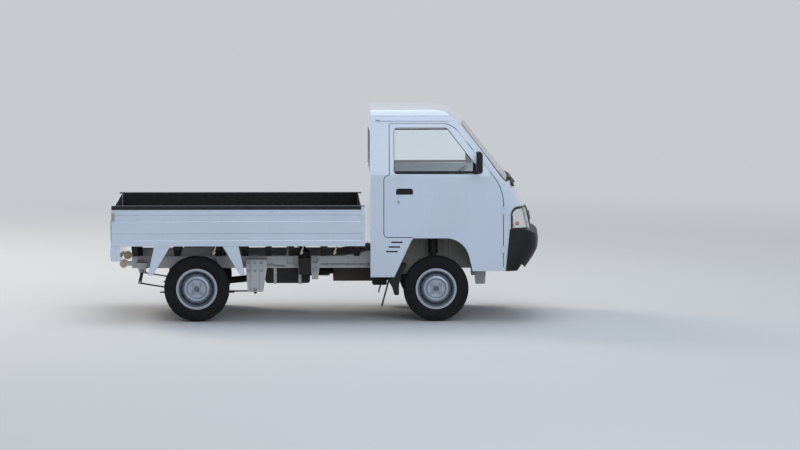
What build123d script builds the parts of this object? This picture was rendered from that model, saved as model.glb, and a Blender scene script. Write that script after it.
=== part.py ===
"""A small flat-bed cab-over truck, in millimetres.

+X is forward, +Y is to the left, +Z is up. The origin is on the ground, below the middle of the
truck. Outlines of the cab are counted from the front axle, and those of the rear springs, guards
and load bed's underside from the rear axle.
"""
from build123d import *
from math import cos, hypot, radians, sin
import os

# Driving dimensions of the whole truck
LENGTH = 3800
FRONT_OVERHANG = 936
REAR_OVERHANG = 754
FRONT_X = LENGTH / 2
REAR_X = -LENGTH / 2
FRONT_AXLE_X = FRONT_X - FRONT_OVERHANG
REAR_AXLE_X = REAR_X + REAR_OVERHANG
SEAT = 0.3

# Wheels and tyres
TYRE_RADIUS = 288.5
TYRE_HALF_WIDTH = 76
TYRE_BEAD_HALF = 55
BEAD_RADIUS = 166
RIM_HALF_WIDTH = 63
RIM_FLANGE_RADIUS = 181
RIM_METAL = 5
DISC_METAL = 6
HUB_RADIUS = 36
HUB_END = 62
VENTS = 12
VENT_RADIUS = 7
VENT_CIRCLE = 136
LUGS = 4
LUG_CIRCLE = 55
LUG_RADIUS = 9
LUG_HEIGHT = 12
FRONT_WHEEL_Y = 652
REAR_WHEEL_Y = 650
SPINDLE_RADIUS = 17
SPINDLE_CLEARANCE = 0.05
DRUM_RADIUS = 112
DRUM_FACE = 22
SPINDLE_END = 48

# Wheel seen in section: distance outward from its middle, radius, edge radius
RIM_PROFILE = [
    (-RIM_HALF_WIDTH, RIM_FLANGE_RADIUS, 0),
    (-RIM_HALF_WIDTH + RIM_METAL, RIM_FLANGE_RADIUS, 0),
    (-RIM_HALF_WIDTH + RIM_METAL, BEAD_RADIUS, 0),
    (-42, BEAD_RADIUS, 0),
    (-28, BEAD_RADIUS - 16, 0),
    (22, BEAD_RADIUS - 16, 0),
    (38, BEAD_RADIUS, 0),
    (RIM_HALF_WIDTH - RIM_METAL, BEAD_RADIUS, 0),
    (RIM_HALF_WIDTH - RIM_METAL, RIM_FLANGE_RADIUS, 0),
    (RIM_HALF_WIDTH, RIM_FLANGE_RADIUS, 0),
    (RIM_HALF_WIDTH, BEAD_RADIUS - RIM_METAL, 0),
    (40, BEAD_RADIUS - RIM_METAL, 0),
    (24, BEAD_RADIUS - 16 - RIM_METAL, 0),
    (-30, BEAD_RADIUS - 16 - RIM_METAL, 0),
    (-44, BEAD_RADIUS - RIM_METAL, 0),
    (-RIM_HALF_WIDTH, BEAD_RADIUS - RIM_METAL, 0),
]
DISC_PROFILE = [
    (-6, BEAD_RADIUS - 20, 0),
    (4, BEAD_RADIUS - 20, 0),
    (28, 127, 0),
    (48, 109, 6),
    (50, 92, 6),
    (38, 79, 0),
    (36, HUB_RADIUS, 0),
    (HUB_END, HUB_RADIUS - 1, 3),
    (HUB_END, HUB_RADIUS - 9, 0),
    (HUB_END - 8, HUB_RADIUS - 11, 0),
    (HUB_END - 8, 0, 0),
    (SPINDLE_END + 1, 0, 0),
    (SPINDLE_END + 1, SPINDLE_RADIUS + SPINDLE_CLEARANCE, 0),
    (29, SPINDLE_RADIUS + SPINDLE_CLEARANCE, 0),
    (31, 75, 0),
    (43, 91, 0),
    (41, 104, 0),
    (22, 122, 0),
]
TYRE_HALF_PROFILE = [
    (TYRE_BEAD_HALF, BEAD_RADIUS, 0),
    (TYRE_HALF_WIDTH, TYRE_RADIUS, 0),
]

# Cab shell
CAB_REAR_X = FRONT_AXLE_X - 580
CAB_HALF_WIDTH = 750
CAB_REAR_BOTTOM_Z = 394
CAB_FRONT_BOTTOM_Z = 446
ROOF_SEAM_Z = 1765
ROOF_RISE = 118
ROOF_Z = ROOF_SEAM_Z + ROOF_RISE
WALL = 46
ROOF_WALL = 30
FRONT_WALL = 32
REAR_WALL = 34
NOSE_BULGE = 88
NOSE_CORNER = 165
COWL_Z = 1212

# Gutter over the doors: its ends ahead of the front axle, its height and its place
GUTTER = (-530, 110, 6)
GUTTER_Y = 94 - CAB_HALF_WIDTH
GUTTER_DEPTH = 8

# The nose on the truck's middle: distance ahead of the front axle, height
NOSE_LINE = [
    (-60, ROOF_Z - 3),
    (140, ROOF_Z - 36),
    (257, ROOF_SEAM_Z),
    (703, 1204),
    (837, 985),
    (876, 810),
]

# The cab's half section seen from ahead: half width, height, edge radius
CAB_SECTION = [
    (CAB_HALF_WIDTH, 828, 0),
    (CAB_HALF_WIDTH - 5, 1122, 60),
    (CAB_HALF_WIDTH - 13, 1300, 500),
    (CAB_HALF_WIDTH - 94, ROOF_SEAM_Z, 0),
    (CAB_HALF_WIDTH - 110, ROOF_Z - 71, 30),
    (CAB_HALF_WIDTH - 160, ROOF_Z - 21, 60),
    (300, ROOF_Z, 1500),
]

# Air slots behind the arch: front end ahead of the front axle, lower edge
AIR_SLOTS = [(-298, 696), (-320, 655), (-342, 614)]
AIR_SLOT_LENGTH = 100
AIR_SLOT_HEIGHT = 14
AIR_SLOT_DEPTH = 14

# Wheel arch, door and its window seen from the side: distance ahead of the front axle, height, corner radius
ARCH_TOP_Z = 738
ARCH_OUTLINE = [
    (-388, 355, 0),
    (-211, ARCH_TOP_Z, 45),
    (248, ARCH_TOP_Z, 210),
    (346, 355, 0),
]
DOOR_FRONT = 588
DOOR_REAR = -460
DOOR_SILL_Z = 748
DOOR_BELT_Z = 1290
DOOR_FRAME_REAR = -412
DOOR_TOP_Z = ROOF_SEAM_Z - 22
DOOR_OUTLINE = [
    (DOOR_REAR, DOOR_SILL_Z, 35),
    (DOOR_REAR, DOOR_BELT_Z, 40),
    (DOOR_FRAME_REAR, DOOR_BELT_Z, 0),
    (DOOR_FRAME_REAR, DOOR_TOP_Z, 25),
    (138, DOOR_TOP_Z, 200),
    (DOOR_FRONT, 1170, 400),
    (DOOR_FRONT, CAB_FRONT_BOTTOM_Z, 14),
    (100, CAB_FRONT_BOTTOM_Z, 0),
    (100, 600, 0),
    (-215, DOOR_SILL_Z, 0),
]
WINDOW_OUTLINE = [
    (-376, 1304, 30),
    (-376, DOOR_TOP_Z - 34, 38),
    (92, DOOR_TOP_Z - 34, 45),
    (413, 1300, 30),
]
DOOR_GAP = 6

# Door hinges: heights, and their axis as distance ahead of the front axle and to the left
DOOR_HINGES_Z = (640, 980)
HINGE_AXIS = (DOOR_FRONT + DOOR_GAP / 2, -CAB_HALF_WIDTH)
HINGE_BARREL = 4.5
HINGE_PIN = 2.2
HINGE_LENGTH = 50
HINGE_EAR = 9
HINGE_LEAF = 17
HINGE_DEPTH = 9
GLASS = 5
DOOR_GLASS_DEPTH = 18

# Windscreen and rear window seen from ahead: half width, height, corner radius
SCREEN_HALF = [(CAB_HALF_WIDTH - 95, COWL_Z + 20, 40), (CAB_HALF_WIDTH - 172, ROOF_SEAM_Z - 17, 40)]
REAR_WINDOW_HALF = [(480, 1310, 50), (440, ROOF_SEAM_Z - 105, 50)]
SCREEN_DEPTH = 4

# Front bumper and lamps
BUMPER_TOP_Z = 818
BUMPER_REAR_TOP = 647
BUMPER_REAR_BOTTOM = 614
BUMPER_BULGE = 62
BUMPER_CORNER = 200
BUMPER_TOP_CORNER = 90
BUMPER_BOTTOM_Z = CAB_FRONT_BOTTOM_Z
BUMPER_HALF_WIDTH = CAB_HALF_WIDTH + 2
BUMPER_LINE = [
    (842, BUMPER_TOP_Z),
    (FRONT_OVERHANG - 10, 772),
    (FRONT_OVERHANG, 700),
    (FRONT_OVERHANG - 6, 630),
    (895, 562),
    (815, BUMPER_BOTTOM_Z),
]
INTAKE_HALF_WIDTH = 330
INTAKE_Z = (560, 660)
INTAKE_SLATS = 3
SLAT = 10
SLAT_DEPTH = 30
LAMP_BOTTOM_Z = BUMPER_TOP_Z - 60
LAMP_TOP_Z = 1004
LAMP_REAR = 664
LAMP_INNER_Y = 440
LAMP_DEPTH = 75
LENS = 5
LAMP_CORNER = 60
LAMP_BOWL = (795, -590, 905, 58)

# Load bed
BED_FRONT_X = FRONT_AXLE_X - 628
LINER = 3
BED_HALF_WIDTH = 781
BED_METAL_HALF = BED_HALF_WIDTH - LINER
BED_WALL = 34
BED_INNER_Y = BED_METAL_HALF - BED_WALL
BED_TOP_Z = 1027
BED_METAL_TOP_Z = BED_TOP_Z - LINER
BED_BOTTOM_Z = 673
HEADBOARD = 35
SWAGE_DEPTH = 7
SWAGES = [(952, 888), (788, 721)]
SWAGE_SLOPE = 7
CAP_DROP = 32
DECK_TOP_Z = 708
DECK_SHEET = 22
DECK_BOTTOM_Z = DECK_TOP_Z - DECK_SHEET
BEARERS_BY_FRONT_AXLE = [-1275, -985, -696]
BEARERS_BY_REAR_AXLE = [-545, -178, 185, 420, 630]
BEARER_LENGTH = 52
BEARER_END = 45

# Tailgate, hinged at its foot
TAILGATE = 40
TAILGATE_BOTTOM_Z = 719
TAILGATE_STEP = 8
TAILGATE_STEP_Z = 897
TAILGATE_GAP = 6
GATE_PIVOT_X = REAR_X + 8
GATE_PIVOT_Z = 708
GATE_BARREL = 7
GATE_PIN = 4
GATE_HINGE_LENGTH = 60
GATE_EAR = 12
GATE_LEAF = 5
GATE_HINGES = [-600, 0, 600]
DECK_REAR_X = REAR_X + TAILGATE + TAILGATE_GAP
SIDE_REAR_X = REAR_X + 12
TAILGATE_HALF = BED_INNER_Y - TAILGATE_GAP

# Rear panel below the deck, with the lamps in its ends
REAR_PANEL_DEPTH = 86
REAR_PANEL_BOTTOM_Z = 541
REAR_PANEL_TOP_Z = 664
REAR_PANEL_HALF = 774
TAIL_LAMP_WIDTH = 190
TAIL_LAMP_Z = (560, 648)
TAIL_LAMP_DEPTH = 20

# Chassis
RAIL_TOP_Z = 554
RAIL_BOTTOM_Z = 447.5
RAIL_OUTER_Y = 420
RAIL_WIDTH = 55
RAIL_INNER_Y = RAIL_OUTER_Y - RAIL_WIDTH
RAIL_REAR = REAR_X + 174 - FRONT_AXLE_X
RAIL_FRONT = 640
KICK_UP_Z = 600
RAIL_OUTLINE = [
    (RAIL_REAR, RAIL_BOTTOM_Z, 0),
    (RAIL_FRONT, RAIL_BOTTOM_Z, 0),
    (RAIL_FRONT, RAIL_TOP_Z, 0),
    (-330, RAIL_TOP_Z, 0),
    (-400, KICK_UP_Z, 40),
    (-560, KICK_UP_Z, 60),
    (-830, RAIL_TOP_Z, 60),
    (RAIL_REAR, RAIL_TOP_Z, 0),
]
RAIL_HOLES_Z = 514
CAP_HOLE = (-1063, 25)
RAIL_CROSSBARS = [RAIL_REAR + 40, REAR_AXLE_X - FRONT_AXLE_X + 310, -1220, -640, 560]
CROSSBAR_LENGTH = 50
FRAME_END = (101, 487, 36)
FRONT_BRACKET = [
    (352, RAIL_BOTTOM_Z, 0),
    (362, 301, 8),
    (446, 301, 8),
    (456, RAIL_BOTTOM_Z, 0),
]
CROSSBAR_Z = (480, 545)

# Cab floor seen from the side: distance ahead of the front axle, height
FLOOR_SHEET = 20
SEAT_DECK_Z = 774
FLOOR_HALF_WIDTH = CAB_HALF_WIDTH - 64
FLOOR_LINE = [
    (-560, SEAT_DECK_Z),
    (372, SEAT_DECK_Z),
    (372, RAIL_TOP_Z + FLOOR_SHEET),
    (630, RAIL_TOP_Z + FLOOR_SHEET),
    (880, 900),
]
WHEELHOUSE_SHEET = 4
WHEELHOUSE_TOP_Z = SEAT_DECK_Z - FLOOR_SHEET
WHEELHOUSE_INNER_Y = RAIL_OUTER_Y + 8
WHEELHOUSE_OUTER_Y = FLOOR_HALF_WIDTH

# Steering and front suspension, right side: distance ahead of the front axle, to the left, height
BALL_JOINT = (0, -600, 226)
STRUT_TOP = (-27, -503, WHEELHOUSE_TOP_Z)
STRUT_RADIUS = 24
STRUT_ROD = 10
SPRING_RADIUS = 44
SPRING_BORE = 36
SPRING_LOW = 382
SPRING_HIGH = 512
SPRING_TURNS = 5
KING_PIN = 9
PIN_CLEARANCE = 0.3
STEER_ARM = 100
STEER_ARM_Z = 262
RACK_Z = 300
RACK_RADIUS = 10
RACK_HOUSING = 22
RACK_HALF = 300
TIE_ROD = 7
TIE_ROD_END_Z = 232
SUBFRAME_HALF_LENGTH = 45
ARM_PIVOT_Y = 330

# Steering wheel: its middle, counted from the front axle, its size and the slope of its column
WHEEL_MIDDLE = (150, -370, 1225)
STEERING_WHEEL_RADIUS = 187
STEERING_RIM = 12
COLUMN_SLOPE = 45
COLUMN_LENGTH = 560
COLUMN_RADIUS = 30
STEERING_SHAFT = 12

# Rear axle, springs and the rails' holes above them, counted from the rear axle
REAR_RAIL_HOLES = [(-510, 16), (-174, 7), (153, 19)]
AXLE_TUBE = 38
DIFF_RADIUS = 125
LEAF_Y = 472
LEAF_WIDTH = 50
LEAF = 8
LEAF_REACHES = (330, 230, 140)
LEAF_FRONT_EYE = (514, 238)
LEAF_REAR_EYE = (-507, 330)
LEAF_SEAT_Z = 242
LEAF_EYE = 14
SHACKLE_TOP = (-487, 428)
SHACKLE = 6
SHACKLE_RADIUS = 16
SHACKLE_HALF = 14
HANGER_SLOT_Z = 300
HANGER_OUTLINE = [
    (432, RAIL_BOTTOM_Z, 0),
    (447, 241, 12),
    (583, 241, 12),
    (617, RAIL_BOTTOM_Z, 0),
    (617, 530, 0),
    (432, 530, 0),
]

# Engine and gearbox as one heavy block, and what hangs beside them, counted from the front axle;
# the filler is counted from the rear axle
ENGINE = (-530, -70, 260, 320, 700)
GEARBOX = (-900, 120, 300, 470)
ENGINE_MOUNT = (-320, -240, 480, 530)
PROPSHAFT_RADIUS = 30
DIFF_NOSE = 190
DIFF_NOSE_RADIUS = 52
EXHAUST_Y = 215
EXHAUST_Z = 375
EXHAUST_PIPE = 19
MUFFLER = (-1320, -930, 60)
TAIL_PIPE_END = -1580
TANK = (-1507, -1110, -418, -70, 311)
FILLER = (900, 1008, 140, 400, RAIL_TOP_Z - 6)

# Rear mudguards and their stays: distance from the rear axle, height
GUARD_TOP = 230
GUARD_FOOT = 384
STAY_TOP = 370
STAY_FOOT = 426
GUARD_FOOT_Z = 416
STAY_OUTER_Y = 774
STAY_METAL = 5
GUARD_INNER_Y = 560
GUARD_SHEET = 4
FLAP_TOP = 400
FLAP_FOOT = 474
FLAP_FOOT_Z = 125
FLAP_SHEET = 6
FLAP_WIDTH = 190

# Splash guard behind the front wheel, clear of the turned tyre: distance from the front axle, height
SPLASH_OUTLINE = [
    (-347, 500, 0),
    (-250, 500, 8),
    (-284, 450, 0),
    (-310, CAB_REAR_BOTTOM_Z, 0),
    (-327, 320, 0),
    (-326, 229, 15),
    (-368, 229, 20),
    (-388, 300, 0),
    (-FLAP_TOP - 15, 345, 0),
    (-FLAP_TOP - 1, CAB_REAR_BOTTOM_Z, 0),
]

# Door fittings: distance ahead of the front axle, height
HANDLE = (-356, -206, 1123, 1177)
HANDLE_DEPTH = 20
MIRROR = (342, 398, 1318, 1508)
MIRROR_Y = (-CAB_HALF_WIDTH - 165, -CAB_HALF_WIDTH - 45)
MIRROR_ARM = 9
SAIL_OUTLINE = [(322, 1304, 0), (410, 1304, 0), (322, 1416, 0)]

# Seats
SEAT_Y = 370
SEAT_WIDTH = 500
CUSHION = (-330, 170, 800, 965)
BACK_REST = [
    (-430, 800, 20), (-330 - SEAT, 800, 20), (-330 - SEAT, 965, 0), (-385, 1300, 50), (-500, 1300, 30)
]


# Smaller things in the cab: distance ahead of the front axle, height
GEAR_LEVER = (255, 285, 1030)
LEVER_KNOB = 22
HAND_BRAKE = (-60, 110, 890)
PEDAL_Y = (-470, -370, -290)
PEDAL_TOP = (570, 960)
PEDAL_PAD = (500, 700)
VISOR_TOP = (190, ROOF_SEAM_Z + 5)
VISOR_Y = 330
VISOR_WIDTH = 380
VISOR_RUN = 95
VISOR_DROP = 118
INNER_MIRROR_Z = ROOF_SEAM_Z - 75

# Wipers
WIPER_PIVOTS = (-470, 30)
WIPER_REACH = 500
WIPER_TIP_Z = 1262
WIPER_RISE = 8
WIPER_BLADE = 14
WIPER_DEPTH = 16


def outline(corners):
    """A closed flat outline; each corner is (across, up, corner radius)."""
    points = [(across, up) for across, up, radius in corners]
    return make_face(FilletPolyline(points, radius=[radius for _, _, radius in corners], close=True))


def from_axle(corners, axle_x=FRONT_AXLE_X):
    """Corners counted from an axle, moved to the truck's own count."""
    return [(axle_x + ahead, up, radius) for ahead, up, radius in corners]


def both_halves(half):
    """A whole outline from the corners of its left half, listed from the bottom up."""
    return [*half, *[(-across, up, radius) for across, up, radius in reversed(half)]]


def side_plate(corners, y_low, y_high):
    """A plate drawn from the side, between two distances to the left."""
    return extrude(Plane.XZ.offset(-y_high) * outline(corners), y_high - y_low)


def plan_plate(corners, z_low, z_high):
    """A plate drawn from above, between two heights."""
    return extrude(Plane.XY.offset(z_low) * outline(corners), z_high - z_low)


def cross_plate(corners, x_low, x_high):
    """A plate drawn from ahead, with its corners as (left, up, radius), between two stations."""
    return extrude(Plane.YZ.offset(x_low) * outline(corners), x_high - x_low)


def block(x_low, x_high, y_low, y_high, z_low, z_high):
    """A plain block between its limits."""
    middle = Pos((x_low + x_high) / 2, (y_low + y_high) / 2, (z_low + z_high) / 2)
    return middle * Box(x_high - x_low, y_high - y_low, z_high - z_low)


def rod(start, end, radius):
    """A round bar from one point to another."""
    way = Vector(*end) - Vector(*start)
    return Plane(origin=start, z_dir=way) * Pos(0, 0, way.length / 2) * Cylinder(radius, way.length)


def turned(profile, centre, side=-1):
    """A ring turned round an axle's line; profile corners are (distance outward, radius, edge radius)."""
    corners = [(side * outward, radius, edge) for outward, radius, edge in profile]
    ring = revolve(Plane.YZ * outline(corners), Axis.Y)
    return Pos(*centre) * ring


def left_of(shape):
    """The same shape on the truck's other side."""
    return mirror(shape, Plane.XZ)


def write(name, *shapes):
    """Writes the solids of one named piece to its own file."""
    solids = [solid for shape in shapes for solid in shape.solids()]
    export_step(solids[0] if len(solids) == 1 else Compound(solids), f"parts/{name}.step")


def nose_cut(low, high, bulge, corner, half_width, inset):
    """All that lies behind a slanting, bulging front that runs through two points of a nose line."""
    run = high[0] - low[0]
    rise = high[1] - low[1]
    front = FRONT_AXLE_X + low[0] - low[1] * run / rise - inset * hypot(run, rise) / abs(rise)
    edge_x = front - bulge
    arc = ThreePointArc((edge_x, -half_width), (front, 0), (edge_x, half_width))
    back_x = REAR_X * 3
    sides = Polyline(
        (edge_x, half_width), (back_x, half_width), (back_x, -half_width), (edge_x, -half_width)
    )
    plan = make_face([arc, sides])
    plan = fillet(plan.vertices().sort_by(Axis.X)[-2:], corner - inset)
    reach = 2 * ROOF_Z
    return extrude(plan, reach * hypot(run, rise) / abs(rise), dir=(run / rise, 0, 1))


def cab_body(side_inset=0, roof_inset=0, front_inset=0, rear_inset=0, bottom_z=CAB_REAR_BOTTOM_Z):
    """The cab's closed outer form, or the same form set in by its wall thicknesses."""
    section = [(CAB_HALF_WIDTH - 12 - side_inset, bottom_z, 0)]
    for half, up, radius in CAB_SECTION:
        section.append((half - side_inset, up - (roof_inset if up > ROOF_SEAM_Z else 0), radius))
    rear_x = CAB_REAR_X + rear_inset
    body = cross_plate(both_halves(section), rear_x, FRONT_X)
    for upper, lower in zip(NOSE_LINE, NOSE_LINE[1:]):
        inset = roof_inset if upper[1] > ROOF_SEAM_Z else front_inset
        body &= nose_cut(lower, upper, NOSE_BULGE, NOSE_CORNER, CAB_HALF_WIDTH, inset)
    last = NOSE_LINE[-1]
    body &= nose_cut((last[0], 0), last, NOSE_BULGE, NOSE_CORNER, CAB_HALF_WIDTH, front_inset)
    return body


def bumper_body():
    """The front bumper's closed outer form."""
    rear = [(BUMPER_REAR_TOP, BUMPER_TOP_Z, 0), (BUMPER_REAR_BOTTOM, BUMPER_BOTTOM_Z, 0)]
    body = side_plate(
        from_axle([(FRONT_OVERHANG, BUMPER_TOP_Z, 0), *rear, (FRONT_OVERHANG, BUMPER_BOTTOM_Z, 0)]),
        -BUMPER_HALF_WIDTH,
        BUMPER_HALF_WIDTH,
    )
    for upper, lower in zip(BUMPER_LINE, BUMPER_LINE[1:]):
        corner = BUMPER_TOP_CORNER if upper[1] == BUMPER_TOP_Z else BUMPER_CORNER
        body &= nose_cut(lower, upper, BUMPER_BULGE, corner, BUMPER_HALF_WIDTH, 0)
    return body


def door_hinge(middle_z):
    """One hinge of the right door: its barrel, the body's pin and ears, and the room that they need."""
    ahead, axis_y = HINGE_AXIS
    axis_x = FRONT_AXLE_X + ahead
    half = HINGE_LENGTH / 2
    end = half + PIN_CLEARANCE + HINGE_EAR
    deep_y = axis_y + HINGE_DEPTH
    barrel = rod((axis_x, axis_y, middle_z - half), (axis_x, axis_y, middle_z + half), HINGE_BARREL)
    barrel += block(
        axis_x - HINGE_LEAF, axis_x, axis_y - HINGE_BARREL, deep_y, middle_z - half, middle_z + half
    )
    bore = rod((axis_x, axis_y, middle_z - end), (axis_x, axis_y, middle_z + end), HINGE_PIN + PIN_CLEARANCE)
    ears = rod((axis_x, axis_y, middle_z - end), (axis_x, axis_y, middle_z + end), HINGE_PIN)
    for low_z in (middle_z - end, middle_z + half + PIN_CLEARANCE):
        ears += rod((axis_x, axis_y, low_z), (axis_x, axis_y, low_z + HINGE_EAR), HINGE_BARREL)
        ears += block(
            axis_x, axis_x + HINGE_LEAF, axis_y - HINGE_BARREL, deep_y, low_z, low_z + HINGE_EAR
        )
    room = rod(
        (axis_x, axis_y, middle_z - end), (axis_x, axis_y, middle_z + end), HINGE_BARREL + PIN_CLEARANCE
    )
    return barrel - bore, ears, room


def wheel(axle_x, middle_y, side):
    """One steel wheel with its vents, lugs and cap, and the tyre on it."""
    centre = (axle_x, side * middle_y, TYRE_RADIUS)
    shape = turned(RIM_PROFILE, centre, side) + turned(DISC_PROFILE, centre, side)
    vent = Rot(90, 0, 0) * Cylinder(VENT_RADIUS, 60)
    lug = Rot(90, 0, 0) * Cylinder(LUG_RADIUS, LUG_HEIGHT)
    for number in range(VENTS):
        shape -= Pos(*centre) * Rot(0, 360 * number / VENTS, 0) * Pos(VENT_CIRCLE, side * 30, 0) * vent
    for number in range(LUGS):
        lug_place = Pos(LUG_CIRCLE, side * (36 + LUG_HEIGHT / 2), 0)
        shape += Pos(*centre) * Rot(0, 45 + 360 * number / LUGS, 0) * lug_place * lug
    profile = TYRE_HALF_PROFILE + [
        (-across, radius, edge) for across, radius, edge in reversed(TYRE_HALF_PROFILE)
    ]
    return shape, turned(profile, centre, side)


def on_king_line(distance):
    """A point on the line that the right front wheel steers about."""
    return tuple(ball + king_way * distance)


os.makedirs("parts", exist_ok=True)

# Cab: one shell, parted where the real panels meet
cab = cab_body()
hollow = cab_body(WALL, ROOF_WALL, FRONT_WALL, REAR_WALL, bottom_z=0)
shell = cab - hollow
arch = side_plate(from_axle(ARCH_OUTLINE), -CAB_HALF_WIDTH * 2, CAB_HALF_WIDTH * 2)
shell -= arch
shell -= block(FRONT_AXLE_X, FRONT_X, -BED_HALF_WIDTH, BED_HALF_WIDTH, 0, CAB_FRONT_BOTTOM_Z)
bumper_form = bumper_body()
roof_zone = block(REAR_X, FRONT_X, -BED_HALF_WIDTH, BED_HALF_WIDTH, ROOF_SEAM_Z, ROOF_Z * 2)
rear_zone = block(REAR_X, CAB_REAR_X + REAR_WALL, -BED_HALF_WIDTH, BED_HALF_WIDTH, 0, ROOF_SEAM_Z)
screen_zone = cross_plate(both_halves(SCREEN_HALF), FRONT_AXLE_X, FRONT_X)
front_zone = side_plate(
    from_axle([
        (DOOR_FRONT + DOOR_GAP, 0, 0),
        (DOOR_FRONT + DOOR_GAP, COWL_Z - 60, 0),
        (DOOR_FRONT - 30, COWL_Z, 0),
        (FRONT_OVERHANG, COWL_Z, 0),
        (FRONT_OVERHANG, 0, 0),
    ]),
    -BED_HALF_WIDTH,
    BED_HALF_WIDTH,
)
door_face = outline(from_axle(DOOR_OUTLINE))
door_zone = extrude(Plane.XZ.offset(CAB_HALF_WIDTH / 2) * door_face, CAB_HALF_WIDTH)
door_hole = extrude(Plane.XZ.offset(CAB_HALF_WIDTH / 2) * offset(door_face, DOOR_GAP), CAB_HALF_WIDTH)
door_hole += left_of(door_hole)
window_hole = side_plate(from_axle(WINDOW_OUTLINE), -CAB_HALF_WIDTH * 2, -CAB_HALF_WIDTH / 2)

gutter_rear, gutter_front, gutter_high = GUTTER
gutter = block(
    FRONT_AXLE_X + gutter_rear, FRONT_AXLE_X + gutter_front,
    GUTTER_Y - GUTTER_DEPTH, GUTTER_Y + GUTTER_DEPTH, ROOF_SEAM_Z, ROOF_SEAM_Z + gutter_high,
)
write("cab_roof", (shell & roof_zone) + gutter + left_of(gutter))

rear_window_hole = cross_plate(both_halves(REAR_WINDOW_HALF), CAB_REAR_X - WALL, CAB_REAR_X + WALL * 2)
rail_pass = block(CAB_REAR_X - WALL, CAB_REAR_X + WALL * 2, -560, 560, 0, KICK_UP_Z + 10)
write("cab_rear_wall", (shell & rear_zone) - rear_window_hole - rail_pass)
rear_window = rear_window_hole & block(CAB_REAR_X + 12, CAB_REAR_X + 12 + GLASS, -560, 560, 1200, 1700)

sides = shell - roof_zone - rear_zone - door_hole - screen_zone - front_zone - bumper_form
right_side = sides & block(REAR_X, FRONT_X, -BED_HALF_WIDTH, 0, 0, ROOF_Z)
for slot_ahead, slot_z in AIR_SLOTS:
    slot_x = FRONT_AXLE_X + slot_ahead
    right_side -= block(
        slot_x - AIR_SLOT_LENGTH, slot_x, -BED_HALF_WIDTH, -CAB_HALF_WIDTH + AIR_SLOT_DEPTH,
        slot_z, slot_z + AIR_SLOT_HEIGHT,
    )
write("cab_sides", right_side, left_of(right_side))

lamp_zone = side_plate(
    from_axle([
        (LAMP_REAR, LAMP_BOTTOM_Z, 0),
        (LAMP_REAR, LAMP_TOP_Z, LAMP_CORNER),
        (FRONT_OVERHANG, LAMP_TOP_Z, 0),
        (FRONT_OVERHANG, LAMP_BOTTOM_Z, 0),
    ]),
    -BED_HALF_WIDTH,
    -LAMP_INNER_Y,
)
lamp_zone -= bumper_form
both_lamp_zones = lamp_zone + left_of(lamp_zone)
bumper_zone = side_plate(
    from_axle([
        (BUMPER_REAR_TOP, BUMPER_TOP_Z, 0),
        (BUMPER_REAR_BOTTOM, BUMPER_BOTTOM_Z, 0),
        (BUMPER_REAR_BOTTOM, 0, 0),
        (FRONT_OVERHANG, 0, 0),
        (FRONT_OVERHANG, BUMPER_TOP_Z, 0),
    ]),
    -BED_HALF_WIDTH,
    BED_HALF_WIDTH,
)
front_panel = (shell & front_zone) - screen_zone - bumper_zone - both_lamp_zones
for hinge_z in DOOR_HINGES_Z:
    on_door, on_body, room = door_hinge(hinge_z)
    front_panel -= room + left_of(room)
    front_panel += on_body + left_of(on_body)
write("front_panel", front_panel)
lens_hollow = cab_body(LENS, LENS, LENS, LENS)
lamp_hollow = cab_body(LAMP_DEPTH, ROOF_WALL, LAMP_DEPTH, REAR_WALL)
lens = (cab & lamp_zone) - lens_hollow
write("headlamp_lenses", lens, left_of(lens))
bowl = (lens_hollow & lamp_zone) - lamp_hollow
bowl_ahead, bowl_y, bowl_z, bowl_radius = LAMP_BOWL
bowl -= Pos(FRONT_AXLE_X + bowl_ahead, bowl_y, bowl_z) * Sphere(bowl_radius)
write("headlamps", bowl, left_of(bowl))

outer_glass = cab_body(SCREEN_DEPTH, SCREEN_DEPTH, SCREEN_DEPTH, SCREEN_DEPTH)
inner_glass = cab_body(*[SCREEN_DEPTH + GLASS] * 4)
write("cab_glass", (outer_glass - inner_glass) & screen_zone, rear_window)

bumper = bumper_form - hollow
intake = block(FRONT_AXLE_X, FRONT_X, -INTAKE_HALF_WIDTH, INTAKE_HALF_WIDTH, *INTAKE_Z)
bumper -= intake
slat_step = (INTAKE_Z[1] - INTAKE_Z[0]) / (INTAKE_SLATS + 1)
for slat in range(INTAKE_SLATS):
    slat_z = INTAKE_Z[0] + slat_step * (slat + 1)
    slat_x = FRONT_X - 40
    bumper += block(
        slat_x - SLAT_DEPTH, slat_x, -INTAKE_HALF_WIDTH - 5, INTAKE_HALF_WIDTH + 5,
        slat_z - SLAT / 2, slat_z + SLAT / 2,
    )
write("front_bumper", bumper)

# Doors: as thick as the wall, with the window cut through
door = (shell & door_zone) - window_hole
handle_rear, handle_front, handle_low, handle_high = HANDLE
handle_well = side_plate(
    from_axle([
        (handle_rear, handle_low, 5),
        (handle_front, handle_low, 5),
        (handle_front, handle_high, 22),
        (handle_rear, handle_high, 22),
    ]),
    -CAB_HALF_WIDTH,
    -CAB_HALF_WIDTH + HANDLE_DEPTH + 8,
)
door -= handle_well
for hinge_z in DOOR_HINGES_Z:
    on_door, on_body, room = door_hinge(hinge_z)
    door -= room
    door += on_door
write("door_right", door)
write("door_left", left_of(door))
glass = cab_body(DOOR_GLASS_DEPTH) - cab_body(DOOR_GLASS_DEPTH + GLASS)
glass &= window_hole
write("door_glass_right", glass)
write("door_glass_left", left_of(glass))
handle = handle_well - block(REAR_X, FRONT_X, -BED_HALF_WIDTH, -CAB_HALF_WIDTH + HANDLE_DEPTH, 0, ROOF_Z)
handle += block(
    FRONT_AXLE_X + handle_rear + 20, FRONT_AXLE_X + handle_front - 20,
    -CAB_HALF_WIDTH + 8, -CAB_HALF_WIDTH + HANDLE_DEPTH + 8, handle_high - 24, handle_high - 8,
)
sail = side_plate(from_axle(SAIL_OUTLINE), -CAB_HALF_WIDTH, -CAB_HALF_WIDTH / 2)
sail &= cab & window_hole
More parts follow.
